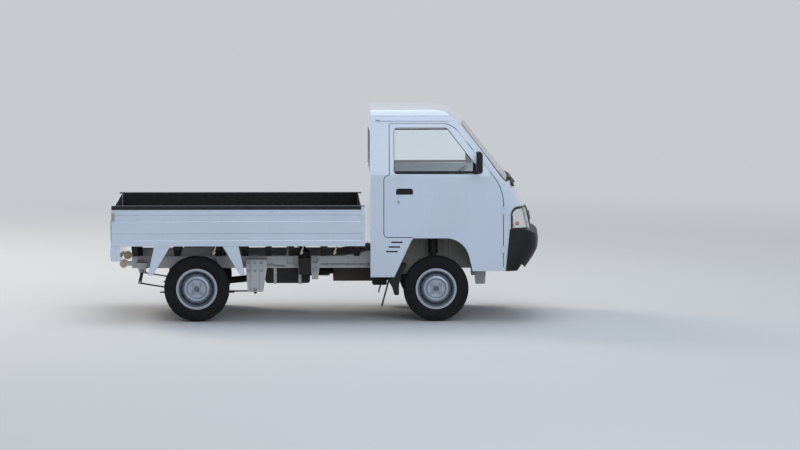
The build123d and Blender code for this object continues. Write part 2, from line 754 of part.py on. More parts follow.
sail -= cab_body(DOOR_GLASS_DEPTH)
mirror_rear, mirror_front, mirror_low, mirror_high = MIRROR
head = side_plate(
    from_axle([
        (mirror_rear, mirror_low, 18),
        (mirror_front, mirror_low, 26),
        (mirror_front, mirror_high, 26),
        (mirror_rear, mirror_high, 18),
    ]),
    *MIRROR_Y,
)
arm_root = (FRONT_AXLE_X + 362, -CAB_HALF_WIDTH + 24, 1340)
arm_tip = (FRONT_AXLE_X + (mirror_rear + mirror_front) / 2, MIRROR_Y[1] - 20, 1372)
mirror_piece = sail + head + rod(arm_root, arm_tip, MIRROR_ARM)
write("door_fittings_right", handle, mirror_piece)
write("door_fittings_left", left_of(handle), left_of(mirror_piece))

# Steering wheel, its column, and the dashboard
column_way = Vector(-cos(radians(COLUMN_SLOPE)), 0, sin(radians(COLUMN_SLOPE)))
wheel_middle = Vector(FRONT_AXLE_X + WHEEL_MIDDLE[0], *WHEEL_MIDDLE[1:])
wheel_plane = Plane(origin=wheel_middle, x_dir=(0, 1, 0), z_dir=column_way)
rim = Torus(STEERING_WHEEL_RADIUS - STEERING_RIM, STEERING_RIM)
spokes = Pos(0, 0, -12) * Box(2 * (STEERING_WHEEL_RADIUS - STEERING_RIM), 36, 12)
spokes += Pos(0, -STEERING_WHEEL_RADIUS / 2, -12) * Box(36, STEERING_WHEEL_RADIUS - STEERING_RIM, 12)
boss = Pos(0, 0, -18) * Cylinder(58, 44)
stub = Pos(0, 0, -60) * Cylinder(STEERING_SHAFT, 80)
write("steering_wheel", wheel_plane * (rim + spokes + boss + stub))

column_top = wheel_middle - column_way * 60
column_foot = wheel_middle - column_way * COLUMN_LENGTH
column = rod(column_foot, column_top, COLUMN_RADIUS)
column -= rod(column_top - column_way * 60, column_top + column_way * 10, STEERING_SHAFT + PIN_CLEARANCE)
floor_sheet = side_plate(
    from_axle(
        [(ahead, up, 0) for ahead, up in FLOOR_LINE]
        + [
            (FLOOR_LINE[4][0] + FLOOR_SHEET, FLOOR_LINE[4][1] - FLOOR_SHEET, 0),
            (FLOOR_LINE[3][0] + FLOOR_SHEET / 2, FLOOR_LINE[3][1] - FLOOR_SHEET, 0),
            (FLOOR_LINE[2][0] - FLOOR_SHEET, FLOOR_LINE[2][1] - FLOOR_SHEET, 0),
            (FLOOR_LINE[1][0] - FLOOR_SHEET, FLOOR_LINE[1][1] - FLOOR_SHEET, 0),
            (FLOOR_LINE[0][0], FLOOR_LINE[0][1] - FLOOR_SHEET, 0),
        ]
    ),
    -FLOOR_HALF_WIDTH,
    FLOOR_HALF_WIDTH,
)
floor_sheet &= hollow
above_floor = side_plate(
    from_axle(
        [(ahead, up, 0) for ahead, up in FLOOR_LINE]
        + [(FLOOR_LINE[4][0], ROOF_Z, 0), (FLOOR_LINE[0][0], ROOF_Z, 0)]
    ),
    -FLOOR_HALF_WIDTH,
    FLOOR_HALF_WIDTH,
)

dash = side_plate(
    from_axle([
        (372, 1010, 30),
        (352, 1120, 25),
        (400, 1196, 30),
        (560, 1212, 0),
        (900, 1212, 0),
        (900, LAMP_TOP_Z + 20, 0),
        (640, LAMP_TOP_Z + 10, 0),
        (560, 900, 30),
    ]),
    -FLOOR_HALF_WIDTH + 12,
    FLOOR_HALF_WIDTH - 12,
)
dash &= hollow
dash += column & above_floor
dash -= rod(column_top - column_way * 60, column_top + column_way * 10, STEERING_SHAFT + PIN_CLEARANCE)
write("dashboard", dash)

# Seats on their frames
cushions = []
backs = []
for seat_y in (-SEAT_Y, SEAT_Y):
    low_y = seat_y - SEAT_WIDTH / 2
    high_y = seat_y + SEAT_WIDTH / 2
    rear, front, under, top = CUSHION
    cushion = block(FRONT_AXLE_X + rear, FRONT_AXLE_X + front, low_y, high_y, under, top)
    cushions.append(fillet(cushion.edges().filter_by(Axis.Z), 40))
    backs.append(side_plate(from_axle(BACK_REST), low_y + 10, high_y - 10))
    floor_sheet += block(
        FRONT_AXLE_X + rear - 90, FRONT_AXLE_X + front - 30, low_y + 30, high_y - 30, SEAT_DECK_Z, under
    )
write("seats", *cushions, *backs)
write("cab_floor", floor_sheet)

# What else the driver reaches or sees through the glass
fittings = []
lever_foot = (FRONT_AXLE_X + GEAR_LEVER[0], 0, SEAT_DECK_Z)
lever_top = (FRONT_AXLE_X + GEAR_LEVER[1], 0, GEAR_LEVER[2])
lever = rod(lever_foot, lever_top, 9) + Pos(*lever_top) * Sphere(LEVER_KNOB)
lever += Pos(*lever_foot) * Pos(0, 0, 8) * Cylinder(34, 16)
fittings.append(lever - floor_sheet)
brake_foot = (FRONT_AXLE_X + HAND_BRAKE[0], 0, SEAT_DECK_Z + 14)
brake_top = (FRONT_AXLE_X + HAND_BRAKE[1], 0, HAND_BRAKE[2])
brake_stand = block(brake_foot[0] - 40, brake_foot[0] + 40, -16, 16, SEAT_DECK_Z, SEAT_DECK_Z + 30)
fittings.append(brake_stand + rod(brake_foot, brake_top, 12))
for pedal_y in PEDAL_Y:
    pedal_top = (FRONT_AXLE_X + PEDAL_TOP[0], pedal_y, PEDAL_TOP[1])
    pad_middle = (FRONT_AXLE_X + PEDAL_PAD[0], pedal_y, PEDAL_PAD[1])
    pedal = rod(pedal_top, pad_middle, 6) + Pos(*pad_middle) * Rot(0, -30, 0) * Box(10, 56, 48)
    fittings.append(pedal - dash)
header_x, header_z = VISOR_TOP
for visor_y in (-VISOR_Y, VISOR_Y):
    visor = side_plate(
        from_axle([
            (header_x, header_z, 0),
            (header_x + VISOR_RUN, header_z - VISOR_DROP, 5),
            (header_x + VISOR_RUN - 6, header_z - VISOR_DROP - 12, 5),
            (header_x - 12, header_z - 4, 0),
            (header_x - 12, ROOF_SEAM_Z + 60, 0),
            (header_x, ROOF_SEAM_Z + 60, 0),
        ]),
        visor_y - VISOR_WIDTH / 2,
        visor_y + VISOR_WIDTH / 2,
    )
    fittings.append(visor & hollow)
mirror_foot = (FRONT_AXLE_X + header_x - 40, 0, ROOF_SEAM_Z + 100)
glass_middle = (FRONT_AXLE_X + header_x + 10, 0, INNER_MIRROR_Z)
inner_mirror = rod(mirror_foot, glass_middle, 7) & hollow
inner_mirror += Pos(*glass_middle) * Box(16, 210, 56)
fittings.append(inner_mirror)
write("cab_fittings", *fittings)

# Wipers, parked along the foot of the windscreen
wiper_bed = cab_body(*[SCREEN_DEPTH - SEAT] * 4)
wiper_skin = cab_body(*[-WIPER_DEPTH] * 4) - wiper_bed
wipers = []
for pivot_y in WIPER_PIVOTS:
    blade = cross_plate(
        [
            (pivot_y + WIPER_REACH, WIPER_TIP_Z, 2),
            (pivot_y + 60, WIPER_TIP_Z - WIPER_RISE, 2),
            (pivot_y + 60, WIPER_TIP_Z - WIPER_RISE - WIPER_BLADE, 2),
            (pivot_y + WIPER_REACH, WIPER_TIP_Z - WIPER_BLADE, 2),
        ],
        FRONT_AXLE_X,
        FRONT_X,
    )
    arm = cross_plate(
        [
            (pivot_y + WIPER_REACH * 0.6, WIPER_TIP_Z - 10, 0),
            (pivot_y - 10, COWL_Z - 10, 0),
            (pivot_y + 10, COWL_Z - 24, 0),
            (pivot_y + WIPER_REACH * 0.6 + 14, WIPER_TIP_Z - 22, 0),
        ],
        FRONT_AXLE_X,
        FRONT_X,
    )
    boss = FRONT_AXLE_X + 700
    wiper = (blade + arm + Pos(boss, pivot_y, COWL_Z - 17) * Rot(0, 90, 0) * Cylinder(18, 300)) & wiper_skin
    wipers.append(wiper - cab)
write("wipers", *wipers)

# Load bed
side_corners = [(BED_INNER_Y, BED_BOTTOM_Z, 0), (BED_METAL_HALF, BED_BOTTOM_Z, 0)]
for high_z, low_z in reversed(SWAGES):
    side_corners += [
        (BED_METAL_HALF, low_z, 0),
        (BED_METAL_HALF - SWAGE_DEPTH, low_z + SWAGE_SLOPE, 0),
        (BED_METAL_HALF - SWAGE_DEPTH, high_z - SWAGE_SLOPE, 0),
        (BED_METAL_HALF, high_z, 0),
    ]
side_corners += [(BED_METAL_HALF, BED_METAL_TOP_Z, 0), (BED_INNER_Y, BED_METAL_TOP_Z, 0)]
bed_side = cross_plate(side_corners, SIDE_REAR_X, BED_FRONT_X - HEADBOARD)
write("bed_sides", bed_side, left_of(bed_side))
headboard = block(
    BED_FRONT_X - HEADBOARD, BED_FRONT_X, -BED_METAL_HALF, BED_METAL_HALF, BED_BOTTOM_Z, BED_METAL_TOP_Z
)
write("bed_headboard", headboard)
deck = block(DECK_REAR_X, BED_FRONT_X - HEADBOARD, -BED_INNER_Y, BED_INNER_Y, DECK_BOTTOM_Z, DECK_TOP_Z)
liner_half = [
    (BED_INNER_Y, DECK_TOP_Z, 0),
    (BED_INNER_Y, BED_METAL_TOP_Z, 0),
    (BED_METAL_HALF, BED_METAL_TOP_Z, 0),
    (BED_METAL_HALF, BED_TOP_Z - CAP_DROP, 0),
    (BED_HALF_WIDTH, BED_TOP_Z - CAP_DROP, 0),
    (BED_HALF_WIDTH, BED_TOP_Z, 0),
    (BED_INNER_Y - LINER, BED_TOP_Z, 0),
    (BED_INNER_Y - LINER, DECK_TOP_Z + LINER, 0),
]
liner = cross_plate(both_halves(liner_half), DECK_REAR_X, BED_FRONT_X - HEADBOARD)
cap_corners = [(BED_INNER_Y, BED_METAL_TOP_Z, 0), *liner_half[2:6], (BED_INNER_Y, BED_TOP_Z, 0)]
cap = cross_plate(cap_corners, SIDE_REAR_X, DECK_REAR_X)
liner += cap + left_of(cap)
liner_front = BED_FRONT_X - HEADBOARD
liner += block(liner_front - LINER, liner_front, -BED_INNER_Y, BED_INNER_Y, DECK_TOP_Z, BED_METAL_TOP_Z)
write("bed_liner", liner)
bearers = []
stations = [FRONT_AXLE_X + station for station in BEARERS_BY_FRONT_AXLE]
stations += [REAR_AXLE_X + station for station in BEARERS_BY_REAR_AXLE]
for middle_x in stations:
    half = [
        (RAIL_OUTER_Y + 10, RAIL_TOP_Z, 0),
        (BED_INNER_Y, DECK_BOTTOM_Z - BEARER_END, 0),
        (BED_INNER_Y, DECK_BOTTOM_Z, 0),
    ]
    bearers.append(
        cross_plate(both_halves(half), middle_x - BEARER_LENGTH / 2, middle_x + BEARER_LENGTH / 2)
    )
kick_up = side_plate(from_axle(RAIL_OUTLINE), -RAIL_OUTER_Y, -RAIL_INNER_Y)
for bearer in bearers:
    deck += bearer - kick_up - left_of(kick_up)
write("bed_floor", deck)

# Tailgate on its pins, and the rear panel that carries them
gate = side_plate(
    [
        (REAR_X, TAILGATE_BOTTOM_Z, 0),
        (REAR_X + TAILGATE, TAILGATE_BOTTOM_Z, 0),
        (REAR_X + TAILGATE, BED_METAL_TOP_Z, 0),
        (REAR_X + TAILGATE_STEP, BED_METAL_TOP_Z, 4),
        (REAR_X + TAILGATE_STEP, TAILGATE_STEP_Z + TAILGATE_STEP, 0),
        (REAR_X, TAILGATE_STEP_Z, 0),
    ],
    -TAILGATE_HALF,
    TAILGATE_HALF,
)
panel = side_plate(
    [
        (REAR_X + 4, REAR_PANEL_BOTTOM_Z, 8),
        (REAR_X + REAR_PANEL_DEPTH, REAR_PANEL_BOTTOM_Z, 0),
        (REAR_X + REAR_PANEL_DEPTH, DECK_BOTTOM_Z, 0),
        (DECK_REAR_X, DECK_BOTTOM_Z, 0),
        (DECK_REAR_X, REAR_PANEL_TOP_Z, 0),
        (REAR_X + 4, REAR_PANEL_TOP_Z, 8),
    ],
    -REAR_PANEL_HALF,
    REAR_PANEL_HALF,
)
post = block(
    REAR_X + 4, REAR_X + REAR_PANEL_DEPTH, -REAR_PANEL_HALF, -BED_INNER_Y, REAR_PANEL_TOP_Z - 20, DECK_TOP_Z
)
panel += post + left_of(post)
panel -= block(REAR_X, REAR_X + REAR_PANEL_DEPTH, BED_INNER_Y, BED_HALF_WIDTH, BED_BOTTOM_Z, DECK_TOP_Z)
panel -= block(REAR_X, REAR_X + REAR_PANEL_DEPTH, -BED_HALF_WIDTH, -BED_INNER_Y, BED_BOTTOM_Z, DECK_TOP_Z)
lamp_low_y = REAR_PANEL_HALF - 20 - TAIL_LAMP_WIDTH
tail_pocket = block(REAR_X, REAR_X + TAIL_LAMP_DEPTH, lamp_low_y, lamp_low_y + TAIL_LAMP_WIDTH, *TAIL_LAMP_Z)
panel -= tail_pocket + left_of(tail_pocket)
for hinge_y in GATE_HINGES:
    half = GATE_HINGE_LENGTH / 2
    barrel_low = (GATE_PIVOT_X, hinge_y - half, GATE_PIVOT_Z)
    barrel_high = (GATE_PIVOT_X, hinge_y + half, GATE_PIVOT_Z)
    gate += rod(barrel_low, barrel_high, GATE_BARREL)
    gate += block(
        GATE_PIVOT_X - GATE_LEAF, GATE_PIVOT_X + GATE_LEAF, hinge_y - half, hinge_y + half,
        GATE_PIVOT_Z, TAILGATE_BOTTOM_Z,
    )
    pin_end = half + PIN_CLEARANCE + GATE_EAR
    pin_low = (GATE_PIVOT_X, hinge_y - pin_end, GATE_PIVOT_Z)
    pin_high = (GATE_PIVOT_X, hinge_y + pin_end, GATE_PIVOT_Z)
    gate -= rod(pin_low, pin_high, GATE_PIN + PIN_CLEARANCE)
    panel += rod(pin_low, pin_high, GATE_PIN)
    for ear_low in (hinge_y - pin_end, hinge_y + half + PIN_CLEARANCE):
        ear = [
            (GATE_PIVOT_X - GATE_BARREL, GATE_PIVOT_Z, 0),
            (GATE_PIVOT_X - GATE_BARREL, GATE_PIVOT_Z + GATE_BARREL, 5),
            (GATE_PIVOT_X + GATE_BARREL, GATE_PIVOT_Z + GATE_BARREL, 5),
            (GATE_PIVOT_X + GATE_BARREL, REAR_PANEL_TOP_Z, 0),
            (GATE_PIVOT_X - GATE_BARREL, REAR_PANEL_TOP_Z, 0),
        ]
        panel += side_plate(ear, ear_low, ear_low + GATE_EAR)
write("tailgate", gate)
write("rear_panel", panel)
write("tail_lamps", tail_pocket, left_of(tail_pocket))

# Chassis rails, crossbars, and the springs' hangers
rail = side_plate(from_axle(RAIL_OUTLINE), -RAIL_OUTER_Y, -RAIL_INNER_Y)
holes = [(FRONT_AXLE_X + CAP_HOLE[0], CAP_HOLE[1])]
holes += [(REAR_AXLE_X + ahead, radius) for ahead, radius in REAR_RAIL_HOLES]
for hole_x, radius in holes:
    rail -= rod(
        (hole_x, -RAIL_OUTER_Y - 1, RAIL_HOLES_Z), (hole_x, -RAIL_OUTER_Y + 30, RAIL_HOLES_Z), radius
    )
front_hanger = side_plate(
    from_axle(HANGER_OUTLINE, REAR_AXLE_X),
    -LEAF_Y - LEAF_WIDTH / 2 - 6,
    -RAIL_OUTER_Y,
)
hanger_slot = block(
    REAR_AXLE_X, FRONT_AXLE_X, -LEAF_Y - LEAF_WIDTH / 2, -LEAF_Y + LEAF_WIDTH / 2, 0, HANGER_SLOT_Z
)
front_hanger -= hanger_slot
rear_lug = side_plate(
    from_axle([(-510, 408, 16), (-464, 408, 16), (-440, 500, 0), (-540, 500, 0)], REAR_AXLE_X),
    -LEAF_Y - LEAF_WIDTH / 2,
    -RAIL_OUTER_Y,
)
rear_lug -= block(REAR_AXLE_X - 600, REAR_AXLE_X - 400, -LEAF_Y + LEAF_WIDTH / 2, -RAIL_INNER_Y, 300, 446)
end_ahead, end_z, end_radius = FRAME_END
end_x = REAR_X + end_ahead
rail += rod((end_x, -RAIL_OUTER_Y, end_z), (end_x, -RAIL_INNER_Y, end_z), end_radius)
rail += block(
    end_x, FRONT_AXLE_X + RAIL_REAR, -RAIL_OUTER_Y, -RAIL_INNER_Y,
    end_z - end_radius / 2, end_z + end_radius / 2,
)
rail += side_plate(from_axle(FRONT_BRACKET), -RAIL_OUTER_Y, -RAIL_INNER_Y)
rail_right = rail + front_hanger + rear_lug
write("chassis_rails", rail_right, left_of(rail_right))
crossbars = []
for station in RAIL_CROSSBARS:
    bar_x = FRONT_AXLE_X + station
    crossbars.append(
        block(
            bar_x - CROSSBAR_LENGTH / 2, bar_x + CROSSBAR_LENGTH / 2, -RAIL_INNER_Y, RAIL_INNER_Y,
            *CROSSBAR_Z
        )
    )
write("chassis_crossbars", *crossbars)

# Rear axle with its drums, and the leaf springs below it
axle_z = TYRE_RADIUS
axle = rod((REAR_AXLE_X, -600, axle_z), (REAR_AXLE_X, 600, axle_z), AXLE_TUBE)
axle += Pos(REAR_AXLE_X, 0, axle_z) * Sphere(DIFF_RADIUS)
for side in (-1, 1):
    drum_face = side * (REAR_WHEEL_Y + DRUM_FACE)
    axle += rod((REAR_AXLE_X, side * 590, axle_z), (REAR_AXLE_X, drum_face, axle_z), DRUM_RADIUS)
    spindle_end = side * (REAR_WHEEL_Y + SPINDLE_END)
    axle += rod((REAR_AXLE_X, drum_face, axle_z), (REAR_AXLE_X, spindle_end, axle_z), SPINDLE_RADIUS)
    axle -= block(
        REAR_AXLE_X - 200, REAR_AXLE_X + 200, side * LEAF_Y - 40, side * LEAF_Y + 40, 0, LEAF_SEAT_Z + LEAF
    )
axle += rod((REAR_AXLE_X, 0, axle_z), (REAR_AXLE_X + DIFF_NOSE, 0, axle_z), DIFF_NOSE_RADIUS)
write("rear_axle", axle)

springs = []
for side in (-1, 1):
    low_y = side * LEAF_Y - LEAF_WIDTH / 2
    high_y = side * LEAF_Y + LEAF_WIDTH / 2
    front_x, front_z = LEAF_FRONT_EYE
    rear_x, rear_z = LEAF_REAR_EYE
    top = LEAF_SEAT_Z + LEAF
    main = [
        (front_x, front_z + LEAF_EYE, 0),
        (front_x, front_z + LEAF_EYE - LEAF, 0),
        (60, LEAF_SEAT_Z, 900),
        (-60, LEAF_SEAT_Z, 900),
        (rear_x, rear_z - LEAF_EYE, 0),
        (rear_x, rear_z - LEAF_EYE + LEAF, 0),
        (-60, top, 900),
        (60, top, 900),
    ]
    leaf = side_plate(from_axle(main, REAR_AXLE_X), low_y, high_y)
    for step, reach in enumerate(LEAF_REACHES):
        leaf_top = LEAF_SEAT_Z - step * LEAF
        leaf += block(REAR_AXLE_X - reach, REAR_AXLE_X + reach, low_y, high_y, leaf_top - LEAF, leaf_top)
    leaf += rod((REAR_AXLE_X + front_x, low_y, front_z), (REAR_AXLE_X + front_x, high_y, front_z), LEAF_EYE)
    leaf += rod((REAR_AXLE_X + rear_x, low_y, rear_z), (REAR_AXLE_X + rear_x, high_y, rear_z), LEAF_EYE)
    pivots = (LEAF_REAR_EYE, SHACKLE_TOP)
    for shackle_y in (low_y - SHACKLE, high_y):
        strap = [(ahead - SHACKLE_HALF, up, 0) for ahead, up in pivots]
        strap += [(ahead + SHACKLE_HALF, up, 0) for ahead, up in reversed(pivots)]
        leaf += side_plate(from_axle(strap, REAR_AXLE_X), shackle_y, shackle_y + SHACKLE)
        for ahead, up in pivots:
            pivot_x = REAR_AXLE_X + ahead
            leaf += rod((pivot_x, shackle_y, up), (pivot_x, shackle_y + SHACKLE, up), SHACKLE_RADIUS)
    springs.append(leaf)
write("leaf_springs", *springs)

# Wheels and tyres
for end, axle_x, middle_y in (("front", FRONT_AXLE_X, FRONT_WHEEL_Y), ("rear", REAR_AXLE_X, REAR_WHEEL_Y)):
    for hand, side in (("right", -1), ("left", 1)):
        steel, rubber = wheel(axle_x, middle_y, side)
        write(f"wheel_{end}_{hand}", steel)
        write(f"tyre_{end}_{hand}", rubber)

# Front suspension and steering, drawn for the right side
ball = Vector(FRONT_AXLE_X + BALL_JOINT[0], *BALL_JOINT[1:])
strut_top = Vector(FRONT_AXLE_X + STRUT_TOP[0], *STRUT_TOP[1:])
king_way = (strut_top - ball).normalized()

wheel_z = TYRE_RADIUS
knuckle = rod(on_king_line(-14), on_king_line(24), KING_PIN)
knuckle += rod(on_king_line(22), on_king_line(SPRING_LOW), STRUT_RADIUS)
knuckle += rod(on_king_line(SPRING_LOW - 6), on_king_line(SPRING_LOW), SPRING_RADIUS + 4)
knuckle += rod(on_king_line(SPRING_LOW), on_king_line((strut_top - ball).length - 2), STRUT_ROD)
knuckle += rod((FRONT_AXLE_X, -588, wheel_z), (FRONT_AXLE_X, -634, wheel_z), 36)
knuckle += rod(
    (FRONT_AXLE_X, -632, wheel_z), (FRONT_AXLE_X, -FRONT_WHEEL_Y - DRUM_FACE, wheel_z), DRUM_RADIUS
)
knuckle += rod(
    (FRONT_AXLE_X, -660, wheel_z), (FRONT_AXLE_X, -FRONT_WHEEL_Y - SPINDLE_END, wheel_z), SPINDLE_RADIUS
)
steer_arm = plan_plate(
    [
        (FRONT_AXLE_X - 16, -578, 0),
        (FRONT_AXLE_X + STEER_ARM + 14, -586, 12),
        (FRONT_AXLE_X + STEER_ARM + 14, -614, 12),
        (FRONT_AXLE_X - 16, -614, 0),
    ],
    STEER_ARM_Z - 7,
    STEER_ARM_Z + 7,
)
knuckle += steer_arm
spring_pitch = (SPRING_HIGH - SPRING_LOW) / SPRING_TURNS
knuckle += rod(on_king_line(SPRING_LOW), on_king_line(SPRING_HIGH), SPRING_BORE)
for turn in range(SPRING_TURNS):
    turn_foot = SPRING_LOW + spring_pitch * turn
    knuckle += rod(on_king_line(turn_foot), on_king_line(turn_foot + spring_pitch / 2), SPRING_RADIUS)
write("knuckle_right", knuckle)
write("knuckle_left", left_of(knuckle))

house_face = outline(from_axle([
    (-422, 355, 0),
    (-222, WHEELHOUSE_TOP_Z, 50),
    (256, WHEELHOUSE_TOP_Z, 205),
    (372, 355, 0),
]))
house = extrude(Plane.XZ.offset(WHEELHOUSE_INNER_Y) * house_face, WHEELHOUSE_OUTER_Y - WHEELHOUSE_INNER_Y)
house_hollow = offset(house_face, -WHEELHOUSE_SHEET)
house -= extrude(
    Plane.XZ.offset(WHEELHOUSE_INNER_Y + WHEELHOUSE_SHEET) * house_hollow,
    WHEELHOUSE_OUTER_Y - WHEELHOUSE_INNER_Y,
)
house -= block(REAR_X, FRONT_X, -BED_HALF_WIDTH, 0, 0, CAB_REAR_BOTTOM_Z)
house -= block(FRONT_AXLE_X, FRONT_X, -BED_HALF_WIDTH, 0, 0, CAB_FRONT_BOTTOM_Z)
mount = rod(on_king_line(SPRING_HIGH + PIN_CLEARANCE), on_king_line(560), SPRING_RADIUS + 4)
mount &= block(REAR_X, FRONT_X, -BED_HALF_WIDTH, 0, 0, WHEELHOUSE_TOP_Z)
house += mount
house -= rod(
    on_king_line(SPRING_HIGH - 10), on_king_line((strut_top - ball).length), STRUT_ROD + PIN_CLEARANCE
)
write("wheelhouses", house, left_of(house))

subframe_x = (FRONT_AXLE_X - SUBFRAME_HALF_LENGTH, FRONT_AXLE_X + SUBFRAME_HALF_LENGTH)
subframe = cross_plate(
    both_halves([(ARM_PIVOT_Y, 290, 0), (ARM_PIVOT_Y, 400, 0), (RAIL_OUTER_Y, RAIL_BOTTOM_Z, 0)]),
    *subframe_x,
)
rack_x = FRONT_AXLE_X + STEER_ARM
subframe += rod((rack_x, -RACK_HALF, RACK_Z), (rack_x, RACK_HALF, RACK_Z), RACK_HOUSING)
for bracket_y in (-170, 170):
    subframe += block(subframe_x[1] - 5, rack_x, bracket_y - 20, bracket_y + 20, RACK_Z - 10, RACK_Z + 10)
subframe -= rod(
    (rack_x, -RACK_HALF - 1, RACK_Z), (rack_x, RACK_HALF + 1, RACK_Z), RACK_RADIUS + SPINDLE_CLEARANCE
)
arm = cross_plate(
    [
        (-ARM_PIVOT_Y, 296, 0),
        (-570, BALL_JOINT[2] - 12, 0),
        (-624, BALL_JOINT[2] - 12, 0),
        (-624, BALL_JOINT[2] + 12, 0),
        (-575, BALL_JOINT[2] + 12, 0),
        (-ARM_PIVOT_Y, 330, 0),
    ],
    FRONT_AXLE_X - 100,
    FRONT_AXLE_X + 100,
)
arm &= plan_plate(
    [
        (FRONT_AXLE_X - 64, -ARM_PIVOT_Y, 0),
        (FRONT_AXLE_X - 22, -590, 0),
        (FRONT_AXLE_X - 22, -622, 16),
        (FRONT_AXLE_X + 22, -622, 16),
        (FRONT_AXLE_X + 22, -590, 0),
        (FRONT_AXLE_X + 64, -ARM_PIVOT_Y, 0),
    ],
    100,
    500,
)
arm -= rod(on_king_line(-40), on_king_line(40), KING_PIN + PIN_CLEARANCE)
write("front_subframe", subframe + arm + left_of(arm))

tie_start = (rack_x, -RACK_HALF - 90, RACK_Z)
tie_end = (rack_x, -596, TIE_ROD_END_Z)
rack = rod(tie_start, (rack_x, RACK_HALF + 90, RACK_Z), RACK_RADIUS)
tie = rod(tie_start, tie_end, TIE_ROD)
tie += Pos(*tie_end) * Cylinder(12, 12)
tie += Pos(*tie_start) * Sphere(RACK_RADIUS + 2)
write("steering_rack", rack + tie + left_of(tie))

# Engine and gearbox, shaft, exhaust and tank
rear, front, half, under, top = ENGINE
engine = block(FRONT_AXLE_X + rear, FRONT_AXLE_X + front, -half, half, under, top)
mount_rear, mount_front, mount_low, mount_high = ENGINE_MOUNT
engine += block(
    FRONT_AXLE_X + mount_rear, FRONT_AXLE_X + mount_front, -RAIL_INNER_Y, RAIL_INNER_Y, mount_low, mount_high
)
box_rear, box_half, box_low, box_high = GEARBOX
engine += block(FRONT_AXLE_X + box_rear, FRONT_AXLE_X + rear, -box_half, box_half, box_low, box_high)
write("engine_and_gearbox", engine)

diff_x = REAR_AXLE_X + DIFF_NOSE
shaft_z = (box_low + box_high) / 2
shaft = rod(
    (diff_x - 50, 0, wheel_z - 50 * (shaft_z - wheel_z) / (FRONT_AXLE_X + box_rear - diff_x)),
    (
        FRONT_AXLE_X + box_rear + 50, 0,
        shaft_z + 50 * (shaft_z - wheel_z) / (FRONT_AXLE_X + box_rear - diff_x)
    ),
    PROPSHAFT_RADIUS,
)
shaft &= block(diff_x, FRONT_AXLE_X + box_rear, -200, 200, 0, ROOF_Z)
write("propshaft", shaft)

muffler_rear, muffler_front, muffler_radius = MUFFLER
exhaust = rod(
    (FRONT_AXLE_X + TAIL_PIPE_END, EXHAUST_Y, EXHAUST_Z),
    (FRONT_AXLE_X + rear, EXHAUST_Y, EXHAUST_Z),
    EXHAUST_PIPE,
)
exhaust += rod(
    (FRONT_AXLE_X + muffler_rear, EXHAUST_Y, EXHAUST_Z),
    (FRONT_AXLE_X + muffler_front, EXHAUST_Y, EXHAUST_Z),
    muffler_radius,
)
exhaust += block(
    FRONT_AXLE_X + RAIL_CROSSBARS[2] - 15, FRONT_AXLE_X + RAIL_CROSSBARS[2] + 15,
    EXHAUST_Y - 8, EXHAUST_Y + 8, EXHAUST_Z, CROSSBAR_Z[0],
)
write("exhaust", exhaust)

tank_rear, tank_front, tank_right, tank_left, tank_low = TANK
tank = block(
    FRONT_AXLE_X + tank_rear, FRONT_AXLE_X + tank_front, tank_right, tank_left, tank_low, RAIL_BOTTOM_Z
)
tank = fillet(tank.edges().filter_by(Axis.Y), 25)
filler_rear, filler_front, filler_deep, filler_low, filler_high = FILLER
filler = block(
    REAR_AXLE_X + filler_rear, REAR_AXLE_X + filler_front,
    -RAIL_OUTER_Y - filler_deep, -RAIL_OUTER_Y, filler_low, filler_high,
)
write("fuel_tank", tank, filler)

# Rear mudguards on their stays, and the flaps behind the front wheels
stays = []
guards = []
for fore in (-1, 1):
    stay = side_plate(
        from_axle(
            [
                (fore * GUARD_TOP, BED_BOTTOM_Z, 0),
                (fore * STAY_TOP, BED_BOTTOM_Z, 0),
                (fore * STAY_FOOT, GUARD_FOOT_Z, 6),
                (fore * GUARD_FOOT, GUARD_FOOT_Z, 6),
            ],
            REAR_AXLE_X,
        ),
        -STAY_OUTER_Y,
        -STAY_OUTER_Y + STAY_METAL,
    )
    slope = (GUARD_FOOT - GUARD_TOP) / (BED_BOTTOM_Z - GUARD_FOOT_Z)
    high = GUARD_TOP - slope * (DECK_BOTTOM_Z - BED_BOTTOM_Z)
    guard = side_plate(
        from_axle(
            [
                (fore * high, DECK_BOTTOM_Z, 0),
                (fore * (high + GUARD_SHEET), DECK_BOTTOM_Z, 0),
                (fore * (GUARD_FOOT + GUARD_SHEET), GUARD_FOOT_Z, 0),
                (fore * GUARD_FOOT, GUARD_FOOT_Z, 0),
            ],
            REAR_AXLE_X,
        ),
        -BED_INNER_Y,
        -GUARD_INNER_Y,
    )
    guard_low = side_plate(
        from_axle(
            [
                (fore * GUARD_TOP, BED_BOTTOM_Z, 0),
                (fore * (GUARD_TOP + GUARD_SHEET), BED_BOTTOM_Z, 0),
                (fore * (GUARD_FOOT + GUARD_SHEET), GUARD_FOOT_Z, 0),
                (fore * GUARD_FOOT, GUARD_FOOT_Z, 0),
            ],
            REAR_AXLE_X,
        ),
        -STAY_OUTER_Y + STAY_METAL,
        -BED_INNER_Y,
    )
    stays += [stay, left_of(stay)]
    guards += [guard + guard_low, left_of(guard + guard_low)]
flap = side_plate(
    from_axle([
        (-FLAP_TOP, CAB_REAR_BOTTOM_Z, 0),
        (-FLAP_TOP - FLAP_SHEET, CAB_REAR_BOTTOM_Z, 0),
        (-FLAP_FOOT - FLAP_SHEET, FLAP_FOOT_Z, 0),
        (-FLAP_FOOT, FLAP_FOOT_Z, 0),
    ]),
    -WHEELHOUSE_OUTER_Y,
    -WHEELHOUSE_OUTER_Y + FLAP_WIDTH,
)
splash = side_plate(from_axle(SPLASH_OUTLINE), -WHEELHOUSE_OUTER_Y, -WHEELHOUSE_OUTER_Y + FLAP_WIDTH)
flap += splash - house
write("mudguards", *guards, *stays, flap, left_of(flap))
